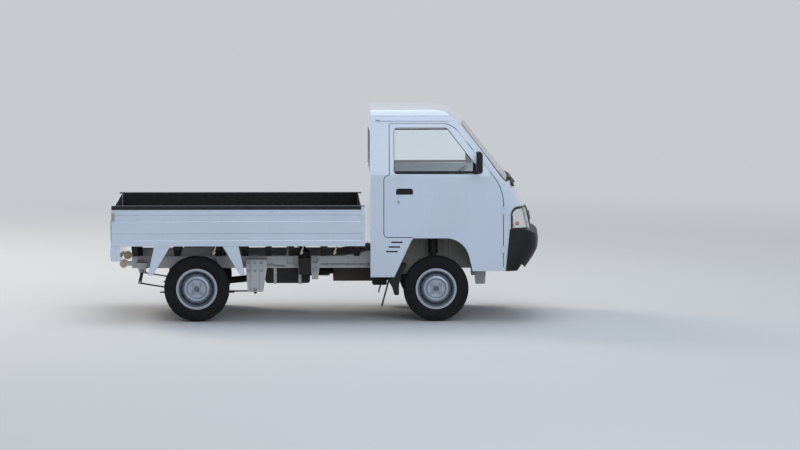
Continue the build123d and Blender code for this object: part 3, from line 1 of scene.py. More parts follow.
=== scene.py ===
"""A small flat-bed cab-over truck, dressed for a plain studio picture.

Every piece lies in the truck's own frame, in metres: +X is the way it drives, +Y is its left and +Z is up.
Places of the cab, the bed and the underbody are given in millimetres from below the front axle, as on a
workshop drawing, and "ahead" turns them into the frame. What is written for the right side is mirrored
to the left one.
"""
import logging
import math
from collections.abc import Callable, Iterable, Sequence
from dataclasses import dataclass
from enum import Enum

import bpy
from mathutils import Matrix, Vector
from mathutils.bvhtree import BVHTree


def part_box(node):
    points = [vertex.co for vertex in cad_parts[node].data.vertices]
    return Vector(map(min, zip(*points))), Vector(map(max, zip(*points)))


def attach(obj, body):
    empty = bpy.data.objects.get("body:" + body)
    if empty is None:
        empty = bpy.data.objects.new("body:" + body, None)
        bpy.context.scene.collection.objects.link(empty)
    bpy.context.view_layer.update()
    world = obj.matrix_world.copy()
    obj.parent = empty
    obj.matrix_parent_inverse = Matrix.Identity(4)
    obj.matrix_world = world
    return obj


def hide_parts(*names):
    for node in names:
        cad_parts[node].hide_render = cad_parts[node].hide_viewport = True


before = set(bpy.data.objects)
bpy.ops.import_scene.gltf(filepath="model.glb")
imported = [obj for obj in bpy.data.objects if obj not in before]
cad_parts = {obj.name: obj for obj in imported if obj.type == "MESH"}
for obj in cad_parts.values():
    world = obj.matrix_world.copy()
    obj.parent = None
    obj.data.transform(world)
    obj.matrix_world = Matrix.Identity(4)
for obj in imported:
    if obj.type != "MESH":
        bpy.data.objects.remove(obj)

log = logging.getLogger("truck")

Colour = tuple[float, float, float]
Point = tuple[float, float, float]
Pair = tuple[float, float]
Profile = tuple[Pair, ...]
Route = tuple[Point, ...]
Row = tuple[float, ...]
FaceTest = Callable[[Vector, Vector], bool]
Mesh = bpy.types.Mesh
Object = bpy.types.Object
Socket = bpy.types.NodeSocket
Tree = bpy.types.NodeTree
Value = float | Row | Socket
Inputs = dict[str | int, Value]
Place = Sequence[float]

MM = 0.001
FRONT_AXLE_X = 0.964
REAR_AXLE_X = -1.146
AXLE_Z = 0.2885
# The rear axle in millimetres from the front one
REAR_AXLE = -2110.0


class Side(Enum):
    """The two sides of the truck, as a sign along Y and a word in node names."""

    RIGHT = (-1, "right")
    LEFT = (1, "left")

    @property
    def sign(self) -> int:
        """The side's direction along Y."""
        return self.value[0]

    @property
    def word(self) -> str:
        """The side's word in the names of nodes and bodies."""
        return self.value[1]


class End(Enum):
    """The two axles, as the word in node names."""

    FRONT = "front"
    REAR = "rear"


class Kind(Enum):
    """What a socket of a node group carries."""

    NUMBER = "NodeSocketFloat"
    COLOUR = "NodeSocketColor"
    DIRECTION = "NodeSocketVector"


class Graph:
    """Writes shader nodes into one node tree."""

    def __init__(self, tree: Tree) -> None:
        """Keeps the tree.

        Args:
            tree: the node tree that receives the nodes.
        """
        self.tree = tree

    def put(self, socket: Socket, value: Value) -> None:
        """Links an output to a socket, or sets the socket's own value.

        Args:
            socket: the input that receives it.
            value: another node's output, a number or a colour.
        """
        if isinstance(value, Socket):
            self.tree.links.new(value, socket)
        elif socket.type == "RGBA":
            socket.default_value = (*value[:3], 1.0)
        else:
            socket.default_value = value

    def add(self, kind: str, inputs: Inputs | None = None, **settings: object) -> bpy.types.Node:
        """Adds one node.

        Args:
            kind: the node's class name in Blender, without its prefix "ShaderNode".
            inputs: socket name or number to what it receives.
            settings: attributes of the node.

        Returns:
            The new node.
        """
        node = self.tree.nodes.new("ShaderNode" + kind)
        for name, value in settings.items():
            setattr(node, name, value)
        for key, value in (inputs or {}).items():
            self.put(node.inputs[key], value)
        return node

    def place(self) -> Socket:
        """Where a point of the surface lies in the truck's frame."""
        return self.add("TexCoord").outputs["Object"]

    def math(self, operation: str, first: Value, second: Value = 0.0, clamp: bool = False) -> Socket:
        """One sum, function or comparison, by Blender's name for it; clamp keeps it from 0 to 1."""
        return self.add("Math", {0: first, 1: second}, operation=operation, use_clamp=clamp).outputs[0]

    def times(self, *values: Value, clamp: bool = False) -> Socket:
        """The product of two or more values.

        Args:
            values: what is multiplied.
            clamp: whether the result is kept from 0 to 1.

        Returns:
            The product.
        """
        product = values[0]
        for value in values[1:-1]:
            product = self.math("MULTIPLY", product, value)
        return self.math("MULTIPLY", product, values[-1], clamp)

    def ramp(self, value: Value, low: Value, high: Value, to_low: float = 0, to_high: float = 1) -> Socket:
        """A value carried smoothly from the span low to high into the span to_low to to_high."""
        inputs = {"Value": value, "From Min": low, "From Max": high, "To Min": to_low, "To Max": to_high}
        return self.add("MapRange", inputs, interpolation_type="SMOOTHSTEP").outputs["Result"]

    def mix(self, share: Value, first: Value, second: Value) -> Socket:
        """A colour between two colours; the share is how much there is of the second."""
        return self.add("Mix", {0: share, 6: first, 7: second}, data_type="RGBA").outputs[2]

    def noise(self, place: Socket, scale: Value, detail: float, roughness: float = 0.5) -> Socket:
        """Cloudy noise, about 0 to 1, read at a place, with the finer layers that detail counts."""
        inputs = {"Vector": place, "Scale": scale, "Detail": detail, "Roughness": roughness}
        return self.add("TexNoise", inputs).outputs["Fac"]

    def use(self, group: Tree, **inputs: Value) -> bpy.types.NodeOutputs:
        """Places a shared effect, its inputs named with underscores for spaces, and gives its outputs."""
        named = {key.replace("_", " "): value for key, value in inputs.items()}
        return self.add("Group", named, node_tree=group).outputs

    def bump(self, height: Socket, distance: float, normal: Socket | None = None) -> Socket:
        """A bump from a height.

        Args:
            height: the height, 0 to 1.
            distance: how far 1 stands out, in metres.
            normal: the direction that the bump starts from, if it isn't the surface's own.

        Returns:
            The bumped direction.
        """
        inputs = {"Height": height, "Distance": distance, "Strength": 1.0}
        if normal is not None:
            inputs["Normal"] = normal
        return self.add("Bump", inputs).outputs["Normal"]


class Group(Graph):
    """A node group in the making, with named inputs and outputs."""

    def __init__(self, name: str, inputs: dict[str, float | Colour], outputs: dict[str, Kind]) -> None:
        """Starts an empty group.

        Args:
            name: the group's name.
            inputs: name and default value of each input.
            outputs: name and kind of each output.
        """
        super().__init__(bpy.data.node_groups.new(name, "ShaderNodeTree"))
        for label, default in inputs.items():
            kind = Kind.COLOUR if isinstance(default, tuple) else Kind.NUMBER
            socket = self.tree.interface.new_socket(label, in_out="INPUT", socket_type=kind.value)
            socket.default_value = (*default, 1.0) if kind is Kind.COLOUR else default
        for label, kind in outputs.items():
            self.tree.interface.new_socket(label, in_out="OUTPUT", socket_type=kind.value)
        self.given = self.tree.nodes.new("NodeGroupInput").outputs
        self.out = self.tree.nodes.new("NodeGroupOutput").inputs

    def closed(self, **results: Socket) -> Tree:
        """The group's tree, once each named output is led its result."""
        for name, value in results.items():
            self.put(self.out[name], value)
        return self.tree


class Effects:
    """The shared effects, each a node group that is built once."""

    def __init__(self) -> None:
        """Builds the groups."""
        self.dust = self._dust()
        self.grain = self._grain()
        self.wear = self._wear()
        self.streaks = self._streaks()
        self.weave = self._weave()

    @staticmethod
    def _dust() -> Tree:
        """Road dust that lies thicker towards the ground and in patches.

        Returns:
            The finished group.
        """
        group = Group(
            "road_dust",
            {
                "Colour": (0.5, 0.5, 0.5), "Dust Colour": (0.36, 0.31, 0.25),
                "Low": 0.2, "High": 0.9, "Amount": 0.3, "Patch Size": 5.0,
            },
            {"Colour": Kind.COLOUR, "Mask": Kind.NUMBER},
        )
        given = group.given
        place = group.place()
        height = group.add("SeparateXYZ", {0: place}).outputs["Z"]
        near = group.ramp(height, given["Low"], given["High"], 1.0, 0.0)
        patches = group.ramp(group.noise(place, given["Patch Size"], 8.0, 0.62), 0.32, 0.72)
        speckle = group.ramp(group.noise(place, 90.0, 4.0, 0.7), 0.25, 0.7, 0.55, 1.0)
        share = group.times(patches, speckle, near, given["Amount"], clamp=True)
        return group.closed(Colour=group.mix(share, given["Colour"], given["Dust Colour"]), Mask=share)

    @staticmethod
    def _grain() -> Tree:
        """Moulded grain: small cells with softer waves under them.

        Returns:
            The finished group.
        """
        group = Group(
            "moulded_grain", {"Size": 400.0, "Softness": 0.5}, {"Height": Kind.NUMBER, "Shade": Kind.NUMBER}
        )
        given = group.given
        place = group.place()
        inputs = {"Vector": place, "Scale": given["Size"], "Randomness": 1.0}
        cells = group.add("TexVoronoi", inputs, feature="SMOOTH_F1").outputs["Distance"]
        waves = group.noise(place, group.times(given["Size"], 0.12), 5.0)
        height = group.math("ADD", cells, group.times(waves, given["Softness"]))
        return group.closed(Height=height, Shade=group.ramp(waves, 0.3, 0.7))

    @staticmethod
    def _wear() -> Tree:
        """Where sharp edges have been rubbed, broken up by noise.

        Returns:
            The finished group.
        """
        group = Group(
            "edge_wear", {"Radius": 0.004, "Amount": 0.5}, {"Mask": Kind.NUMBER, "Normal": Kind.DIRECTION}
        )
        rounded = group.add("Bevel", {"Radius": group.given["Radius"]}, samples=4).outputs["Normal"]
        flat = group.add("NewGeometry").outputs["Normal"]
        same = group.add("VectorMath", {0: rounded, 1: flat}, operation="DOT_PRODUCT").outputs["Value"]
        edge = group.ramp(same, 0.985, 0.8)
        broken = group.ramp(group.noise(group.place(), 55.0, 6.0, 0.7), 0.46, 0.62)
        return group.closed(
            Mask=group.times(edge, broken, group.given["Amount"], clamp=True), Normal=rounded
        )

    @staticmethod
    def _streaks() -> Tree:
        """Faint runs that rain has left on upright panels.

        Returns:
            The finished group.
        """
        group = Group("rain_streaks", {"Width": 30.0, "Amount": 0.3}, {"Mask": Kind.NUMBER})
        parts = group.add("SeparateXYZ", {0: group.place()}).outputs
        along = group.times(group.math("ADD", parts["X"], parts["Y"]), group.given["Width"])
        down = group.times(parts["Z"], 1.3)
        stretched = group.add("CombineXYZ", {0: along, 1: down, 2: 0.0}).outputs[0]
        runs = group.ramp(group.noise(stretched, 1.0, 5.0, 0.6), 0.48, 0.78)
        return group.closed(Mask=group.times(runs, group.given["Amount"], clamp=True))

    @staticmethod
    def _weave() -> Tree:
        """Woven cloth: two sets of threads at right angles, with a heathered tone.

        Returns:
            The finished group.
        """
        group = Group("cloth_weave", {"Threads": 500.0}, {"Height": Kind.NUMBER, "Tone": Kind.NUMBER})
        place = group.place()
        parts = group.add("SeparateXYZ", {0: place}).outputs
        across = group.times(parts["Y"], group.given["Threads"], math.pi)
        along = group.times(group.math("ADD", parts["X"], parts["Z"]), group.given["Threads"], math.pi)
        threads = group.times(group.math("SINE", across), group.math("SINE", along))
        return group.closed(Height=threads, Tone=group.ramp(group.noise(place, 260.0, 3.0), 0.3, 0.7))


class Surface(Graph):
    """A material in the making, round one shader."""

    def __init__(self, finish: "Finish", effects: Effects) -> None:
        """Starts a material that has only its finish's plain values.

        Args:
            finish: the finish.
            effects: the shared node groups.
        """
        self.effects = effects
        self.material = bpy.data.materials.new(finish.name)
        self.material.use_nodes = True
        self.material.diffuse_color = (*finish.colour, 1.0)
        super().__init__(self.material.node_tree)
        self.tree.nodes.clear()
        self.shader = self.add("BsdfPrincipled")
        self.feed(Base_Color=finish.colour, Roughness=finish.roughness, Specular_IOR_Level=finish.specular)
        self.output = self.add("OutputMaterial", {"Surface": self.shader.outputs[0]})

    def feed(self, **inputs: Value) -> None:
        """Feeds inputs of the shader, with underscores for the spaces in their names."""
        for name, value in inputs.items():
            self.put(self.shader.inputs[name.replace("_", " ")], value)

    def dusty(self, colour: Socket, dust: Colour, low: float, high: float, amount: float) -> Socket:
        """Lays road dust over a colour and leads it to the shader.

        Args:
            colour: the colour below the dust.
            dust: the dust's colour.
            low: the height up to which it lies thickest.
            high: the height where it ends.
            amount: how much there is.

        Returns:
            Where the dust lies, 0 to 1.
        """
        given = {"Colour": colour, "Dust_Colour": dust, "Low": low, "High": high, "Amount": amount}
        result = self.use(self.effects.dust, **given)
        self.feed(Base_Color=result["Colour"])
        return result["Mask"]


@dataclass(frozen=True)
class Finish:
    """A surface finish; each kind writes its own material."""

    name: str
    colour: Colour
    roughness: float = 0.5
    specular: float = 0.5

    def material(self, effects: Effects) -> bpy.types.Material:
        """Builds the material.

        Args:
            effects: the shared node groups.

        Returns:
            The new material.
        """
        surface = Surface(self, effects)
        self.write(surface)
        return surface.material

    def write(self, surface: Surface) -> None:
        """Adds what is special to this kind of finish."""

    def tint(self, strength: float, lift: float = 0.0) -> Colour:
        """The finish's colour, stronger or weaker, with some white added."""
        return tuple(min(1.0, strength * part + lift) for part in self.colour)


@dataclass(frozen=True)
class Paint(Finish):
    """Gloss or satin paint with soft edges, road dust, rain runs and chips."""

    coat: float = 1.0
    metallic: float = 0.0
    dust: float = 0.25
    dust_top: float = 0.9
    dust_colour: Colour = (0.36, 0.31, 0.25)
    streaks: float = 0.12
    chips: float = 0.25
    chip_colour: Colour = (0.16, 0.15, 0.14)
    edge: float = 0.003

    def write(self, surface: Surface) -> None:
        """Layers tone, chips, runs and dust over the colour.

        Args:
            surface: the material in the making.
        """
        place = surface.place()
        tone = surface.ramp(surface.noise(place, 1.7, 3.0), 0.35, 0.65)
        colour = surface.mix(tone, self.colour, self.tint(0.955))
        wear = surface.use(surface.effects.wear, Radius=self.edge, Amount=self.chips)
        colour = surface.mix(wear["Mask"], colour, self.chip_colour)
        runs = surface.use(surface.effects.streaks, Width=26.0, Amount=self.streaks)
        colour = surface.mix(runs["Mask"], colour, self.dust_colour)
        dust = surface.dusty(colour, self.dust_colour, 0.15, self.dust_top, self.dust)
        peel = surface.noise(place, 130.0, 2.0)
        surface.feed(
            Roughness=surface.math("ADD", surface.times(dust, 0.5), self.roughness, clamp=True),
            Normal=surface.bump(peel, 0.00012, wear["Normal"]),
            Metallic=self.metallic,
            Coat_Weight=self.coat,
            Coat_Roughness=0.06,
        )


@dataclass(frozen=True)
class Plastic(Finish):
    """Moulded plastic with a grain, paler where it is worn and dusty."""

    grain: float = 420.0
    depth: float = 0.0004
    fade: float = 0.25
    dust: float = 0.2
    dust_top: float = 0.9
    edge: float = 0.003
    chips: float = 0.25

    def write(self, surface: Surface) -> None:
        """Layers faded patches, rubbed edges and dust over the colour, with the grain as bump.

        Args:
            surface: the material in the making.
        """
        grain = surface.use(surface.effects.grain, Size=self.grain, Softness=0.6)
        colour = surface.mix(grain["Shade"], self.colour, self.tint(1 + self.fade, 0.04 * self.fade))
        wear = surface.use(surface.effects.wear, Radius=self.edge, Amount=self.chips)
        colour = surface.mix(wear["Mask"], colour, self.tint(1.6, 0.03))
        surface.dusty(colour, (0.3, 0.27, 0.23), 0.1, self.dust_top, self.dust)
        surface.feed(
            Roughness=surface.math("ADD", surface.times(grain["Shade"], 0.12), self.roughness, clamp=True),
            Normal=surface.bump(grain["Height"], self.depth, wear["Normal"]),
        )


@dataclass(frozen=True)
class Metal(Finish):
    """Bare, cast or plated metal with stains and, where wanted, rust."""

    metallic: float = 1.0
    stain: Colour = (0.12, 0.08, 0.05)
    stained: float = 0.3
    scale: float = 14.0
    pitting: float = 0.0004

    def write(self, surface: Surface) -> None:
        """Lays stains over the metal, duller and rougher there.

        Args:
            surface: the material in the making.
        """
        cloud = surface.noise(surface.place(), self.scale, 9.0, 0.68)
        mask = surface.times(surface.ramp(cloud, 0.42, 0.66), self.stained, clamp=True)
        wear = surface.use(surface.effects.wear, Radius=0.002, Amount=0.0)
        surface.feed(
            Base_Color=surface.mix(mask, self.colour, self.stain),
            Metallic=surface.math("SUBTRACT", self.metallic, surface.times(mask, self.metallic), clamp=True),
            Roughness=surface.math("ADD", surface.times(mask, 0.4), self.roughness, clamp=True),
            Normal=surface.bump(cloud, self.pitting, wear["Normal"]),
        )


@dataclass(frozen=True)
class Rubber(Finish):
    """Tyre and seal rubber: matt, faintly mottled, browned by the road."""

    dust: float = 0.35
    dust_top: float = 0.7

    def write(self, surface: Surface) -> None:
        """Layers scuffs and dust over black rubber.

        Args:
            surface: the material in the making.
        """
        scuff = surface.noise(surface.place(), 38.0, 8.0, 0.7)
        colour = surface.mix(surface.ramp(scuff, 0.4, 0.75), self.colour, self.tint(1.7, 0.002))
        surface.dusty(colour, (0.22, 0.19, 0.155), 0.0, self.dust_top, self.dust)
        surface.feed(Normal=surface.bump(scuff, 0.0006))


@dataclass(frozen=True)
class Cloth(Finish):
    """Woven seat cloth with a soft sheen."""

    threads: float = 420.0
    second: Colour = (0.1, 0.11, 0.13)

    def write(self, surface: Surface) -> None:
        """Mixes two thread colours and raises the threads.

        Args:
            surface: the material in the making.
        """
        weave = surface.use(surface.effects.weave, Threads=self.threads)
        surface.feed(
            Base_Color=surface.mix(weave["Tone"], self.colour, self.second),
            Normal=surface.bump(weave["Height"], 0.0007),
            Sheen_Weight=0.3,
            Sheen_Roughness=0.5,
        )


@dataclass(frozen=True)
class Glass(Finish):
    """Clear glass or clear lamp plastic; light passes through it to what lies behind."""

    ior: float = 1.45
    smear: float = 0.03

    def write(self, surface: Surface) -> None:
        """Makes the shader clear, with faint smears; shadow and diffuse rays pass straight through.

        Args:
            surface: the material in the making.
        """
        smears = surface.noise(surface.place(), 9.0, 6.0)
        rough = surface.ramp(smears, 0.45, 0.8, self.roughness, self.roughness + self.smear)
        surface.feed(Transmission_Weight=1.0, IOR=self.ior, Roughness=rough)
        path = surface.add("LightPath").outputs
        passing = surface.math("MAXIMUM", path["Is Shadow Ray"], path["Is Diffuse Ray"])
        clear = surface.add("BsdfTransparent", {"Color": self.tint(0.45, 0.55)})
        both = surface.add("MixShader", {0: passing, 1: surface.shader.outputs[0], 2: clear.outputs[0]})
        surface.put(surface.output.inputs["Surface"], both.outputs[0])


@dataclass(frozen=True)
class LampPlastic(Finish):
    """Coloured lamp plastic with moulded prisms."""

    prisms: float = 210.0

    def write(self, surface: Surface) -> None:
        """Adds a grid of prisms and a clear coat.

        Args:
            surface: the material in the making.
        """
        parts = surface.add("SeparateXYZ", {0: surface.place()}).outputs
        across, up = (
            surface.math("SINE", surface.times(parts[name], self.prisms * math.pi)) for name in "YZ"
        )
        height = surface.times(across, up)
        surface.feed(
            Base_Color=surface.mix(surface.ramp(height, -0.8, 0.9), self.tint(0.55), self.colour),
            Normal=surface.bump(height, 0.0012),
            Coat_Weight=1.0,
            Coat_Roughness=0.04,
        )


FINISHES: tuple[Finish, ...] = (
    # White paint; its cool blue tint is painted sky shade
    Paint("body_white", (0.635, 0.7, 0.81), 0.22, dust=0.1, dust_top=0.75, streaks=0.05, chips=0.05),
    Paint("rail_beige", (0.6, 0.605, 0.61), 0.5, coat=0.1, dust=0.35, dust_top=0.9, streaks=0.35, chips=0.5),
    Paint(
        "wheelhouse_sheet", (0.27, 0.255, 0.235), 0.65, coat=0.0, dust=0.8, dust_top=1.2, streaks=0.5,
        chips=0.3,
    ),
    Paint(
        "chassis_black", (0.01, 0.01, 0.0105), 0.55, 0.3, coat=0.0, dust=0.16, dust_top=0.7, chips=0.3,
        streaks=0.05, dust_colour=(0.1, 0.085, 0.07),
    ),
    Paint(
        "underbody_brown", (0.022, 0.019, 0.016), 0.75, 0.2, coat=0.0, dust=0.35, dust_top=1.0, chips=0.1,
        streaks=0.1, dust_colour=(0.075, 0.062, 0.048),
    ),
    Paint(
        "wheel_silver", (0.38, 0.43, 0.52), 0.27, coat=0.6, metallic=0.65, dust=0.22, dust_top=0.6,
        chips=0.15, edge=0.0015, dust_colour=(0.2, 0.18, 0.16),
    ),
    # Dark grey: the hub cap's own colour, and painted shade in the wheels' hollow round the disc
    Paint(
        "dark_grey_and_painted_shade", (0.15, 0.165, 0.19), 0.45, coat=0.1, metallic=0.3, dust=0.4, dust_top=0.7,
        chips=0.1, dust_colour=(0.07, 0.06, 0.055),
    ),
    Paint("cab_inside", (0.4, 0.43, 0.46), 0.5, coat=0.1, dust=0.1, streaks=0.0, chips=0.05),
    # Warm cream: painted sunlight and glints on pale parts, namely the rails' rear end, the rope hooks and
    # the tailgate catch plates
    Paint("painted_sunlight_cream", (0.62, 0.52, 0.37), 0.5, coat=0.1, dust=0.3, dust_top=0.8, streaks=0.3, chips=0.6),
    Plastic("black_plastic", (0.005, 0.0054, 0.0068), 0.42, 0.3, depth=0.00012, dust=0.02, fade=0.08),
    Plastic("gloss_black", (0.006, 0.006, 0.0065), 0.18, depth=0.0, dust=0.02, chips=0.0),
    Plastic(
        "bed_liner", (0.0075, 0.0075, 0.008), 0.62, 0.3, grain=180.0, depth=0.0012, dust=0.05,
        dust_top=1.5,
    ),
    # Grey strip on the caps: a painted highlight along their top edge
    Plastic("painted_highlight_grey", (0.085, 0.09, 0.1), 0.45, dust=0.05, chips=0.1),
    Plastic("cabin_grey", (0.085, 0.088, 0.095), 0.6, dust=0.03, chips=0.1),
    Plastic("cabin_dark", (0.02, 0.02, 0.022), 0.5, dust=0.02, chips=0.05),
    Plastic("cabin_pale", (0.4, 0.41, 0.42), 0.62, dust=0.05, chips=0.0),
    Plastic("floor_mat", (0.035, 0.035, 0.037), 0.8, grain=160.0, depth=0.001, dust=0.2, dust_top=1.3),
    Metal("cast_metal", (0.085, 0.078, 0.07), 0.6, metallic=0.45, stained=0.7),
    Metal("zinc_bolt", (0.36, 0.37, 0.39), 0.38, stained=0.3, scale=60.0),
    Metal("exhaust_steel", (0.22, 0.19, 0.165), 0.5, stained=0.8),
    Metal("bright_reflector", (0.86, 0.87, 0.9), 0.1, stained=0.0, pitting=0.0),
    Metal("mirror_face", (0.9, 0.91, 0.93), 0.02, stained=0.0, pitting=0.0),
    Rubber("tyre_rubber", (0.0062, 0.0064, 0.0078), 0.8, 0.22, dust=0.05),
    Rubber("seal_rubber", (0.0055, 0.0055, 0.006), 0.55, 0.35, dust=0.03, dust_top=1.9),
    Cloth("seat_cloth", (0.095, 0.105, 0.13), 0.9),
    Cloth("seat_side_cloth", (0.04, 0.043, 0.052), 0.9, second=(0.028, 0.03, 0.036)),
    Cloth("belt_webbing", (0.03, 0.03, 0.034), 0.8, threads=700.0, second=(0.045, 0.045, 0.05)),
    Glass("window_glass", (0.93, 0.965, 0.975), 0.0),
    Glass("lamp_cover", (0.97, 0.98, 0.99), 0.01, smear=0.03),
    LampPlastic("tail_red", (0.42, 0.012, 0.012), 0.12),
    LampPlastic("turn_amber", (0.75, 0.24, 0.02), 0.12),
    LampPlastic("lamp_white", (0.72, 0.72, 0.72), 0.12),
    LampPlastic("dial_white", (0.6, 0.62, 0.64), 0.3, prisms=0.0),
)

# The finish of each CAD piece, by the start of its name; what isn't named here is body white
NODE_FINISHES: dict[str, tuple[str, ...]] = {
    "bed_liner": ("bed_liner",),
    "underbody_brown": ("bed_floor",),
    "cabin_grey": ("cab_fittings", "dashboard"),
    "floor_mat": ("cab_floor",),
    "window_glass": ("cab_glass", "door_glass"),
    "chassis_black": (
        "chassis_crossbars", "front_subframe", "fuel_tank",
        "leaf_springs", "propshaft", "rear_axle",
    ),
    "rail_beige": ("chassis_rails",),
    "black_plastic": ("door_fittings", "front_bumper", "wipers"),
    "cast_metal": ("engine_and_gearbox", "knuckle", "steering_rack"),
    "exhaust_steel": ("exhaust",),
    "lamp_cover": ("headlamp_lenses",),
    "bright_reflector": ("headlamps",),
    "seat_cloth": ("seats",),
    "cabin_dark": ("steering_wheel",),
    "tail_red": ("tail_lamps",),
    "tyre_rubber": ("tyre",),
    "wheel_silver": ("wheel_",),
    "wheelhouse_sheet": ("wheelhouses",),
}

# Faces of a CAD piece that have a second finish: the piece, the finish, and a test of their middle and
# direction
SECOND_FINISHES: tuple[tuple[str, str, FaceTest], ...] = (
    ("tailgate", "bed_liner", lambda middle, way: way.x > 0.9 and middle.x > -1.87),
    ("cab_roof", "cabin_pale", lambda middle, way: way.z < -0.3 and abs(middle.y) < 0.63),
    ("cab_rear_wall", "cabin_pale", lambda middle, way: way.x > 0.7 and abs(middle.y) < 0.69),
    ("door_right", "cab_inside", lambda middle, way: way.y > 0.7),
    ("door_left", "cab_inside", lambda middle, way: way.y < -0.7),
    ("knuckle_right", "chassis_black", lambda middle, way: middle.z > 0.42),
    ("knuckle_left", "chassis_black", lambda middle, way: middle.z > 0.42),
    # The rails' rear end gets painted sunlight
    ("chassis_rails", "painted_sunlight_cream", lambda middle, way: middle.x < -1.765),
    ("mudguards", "chassis_black", lambda middle, way: abs(middle.y) < 0.7685 or middle.x > 0),
    ("headlamps", "gloss_black", lambda middle, way: way.x < -0.2 or way.z < -0.6),
)


class Shop:
    """Holds one material for each finish, and dresses the CAD pieces."""

    def __init__(self) -> None:
        """Builds the effects and the materials."""
        effects = Effects()
        self.materials = {finish.name: finish.material(effects) for finish in FINISHES}

    def dress_nodes(self) -> None:
        """Gives each CAD piece its finish."""
        for name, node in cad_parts.items():
            named = (finish for finish, starts in NODE_FINISHES.items() if name.startswith(starts))
            finish = next(named, "body_white")
            node.data.materials.clear()
            node.data.materials.append(self.materials[finish])
        for name, finish, test in SECOND_FINISHES:
            self.dress_faces(name, finish, test)

    def dress_faces(self, name: str, finish: str, test: FaceTest) -> None:
        """Gives some faces of a CAD piece a second finish.

        Args:
            name: the piece's name.
            finish: the second finish's name.
            test: tells from a face's middle and direction whether it has that finish.
        """
        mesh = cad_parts[name].data
        mesh.materials.append(self.materials[finish])
        for face in mesh.polygons:
            if test(face.center, face.normal):
                face.material_index = 1


class Probe:
    """Finds the skin of CAD pieces, so that what is added sits on it."""

    def __init__(self) -> None:
        """Starts with no skin read."""
        self.skins: dict[str, BVHTree] = {}

    def touch(self, node: str, start: Place, way: Place) -> tuple[Vector, Vector]:
        """Where a line first meets a CAD piece.

        Args:
            node: the piece's name.
            start: a point on the line, outside the piece.
            way: the line's direction.

        Returns:
            The place, and the skin's direction there, looking back along the line.
        """
        if node not in self.skins:
            self.skins[node] = skin_of(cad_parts[node].data)
        look = Vector(way).normalized()
        place, normal, _, _ = self.skins[node].ray_cast(Vector(start), look)
        if place is None:
            raise ValueError(f"nothing of {node} lies along {tuple(way)} from {tuple(start)}")
        return place, normal if normal.dot(look) < 0 else -normal


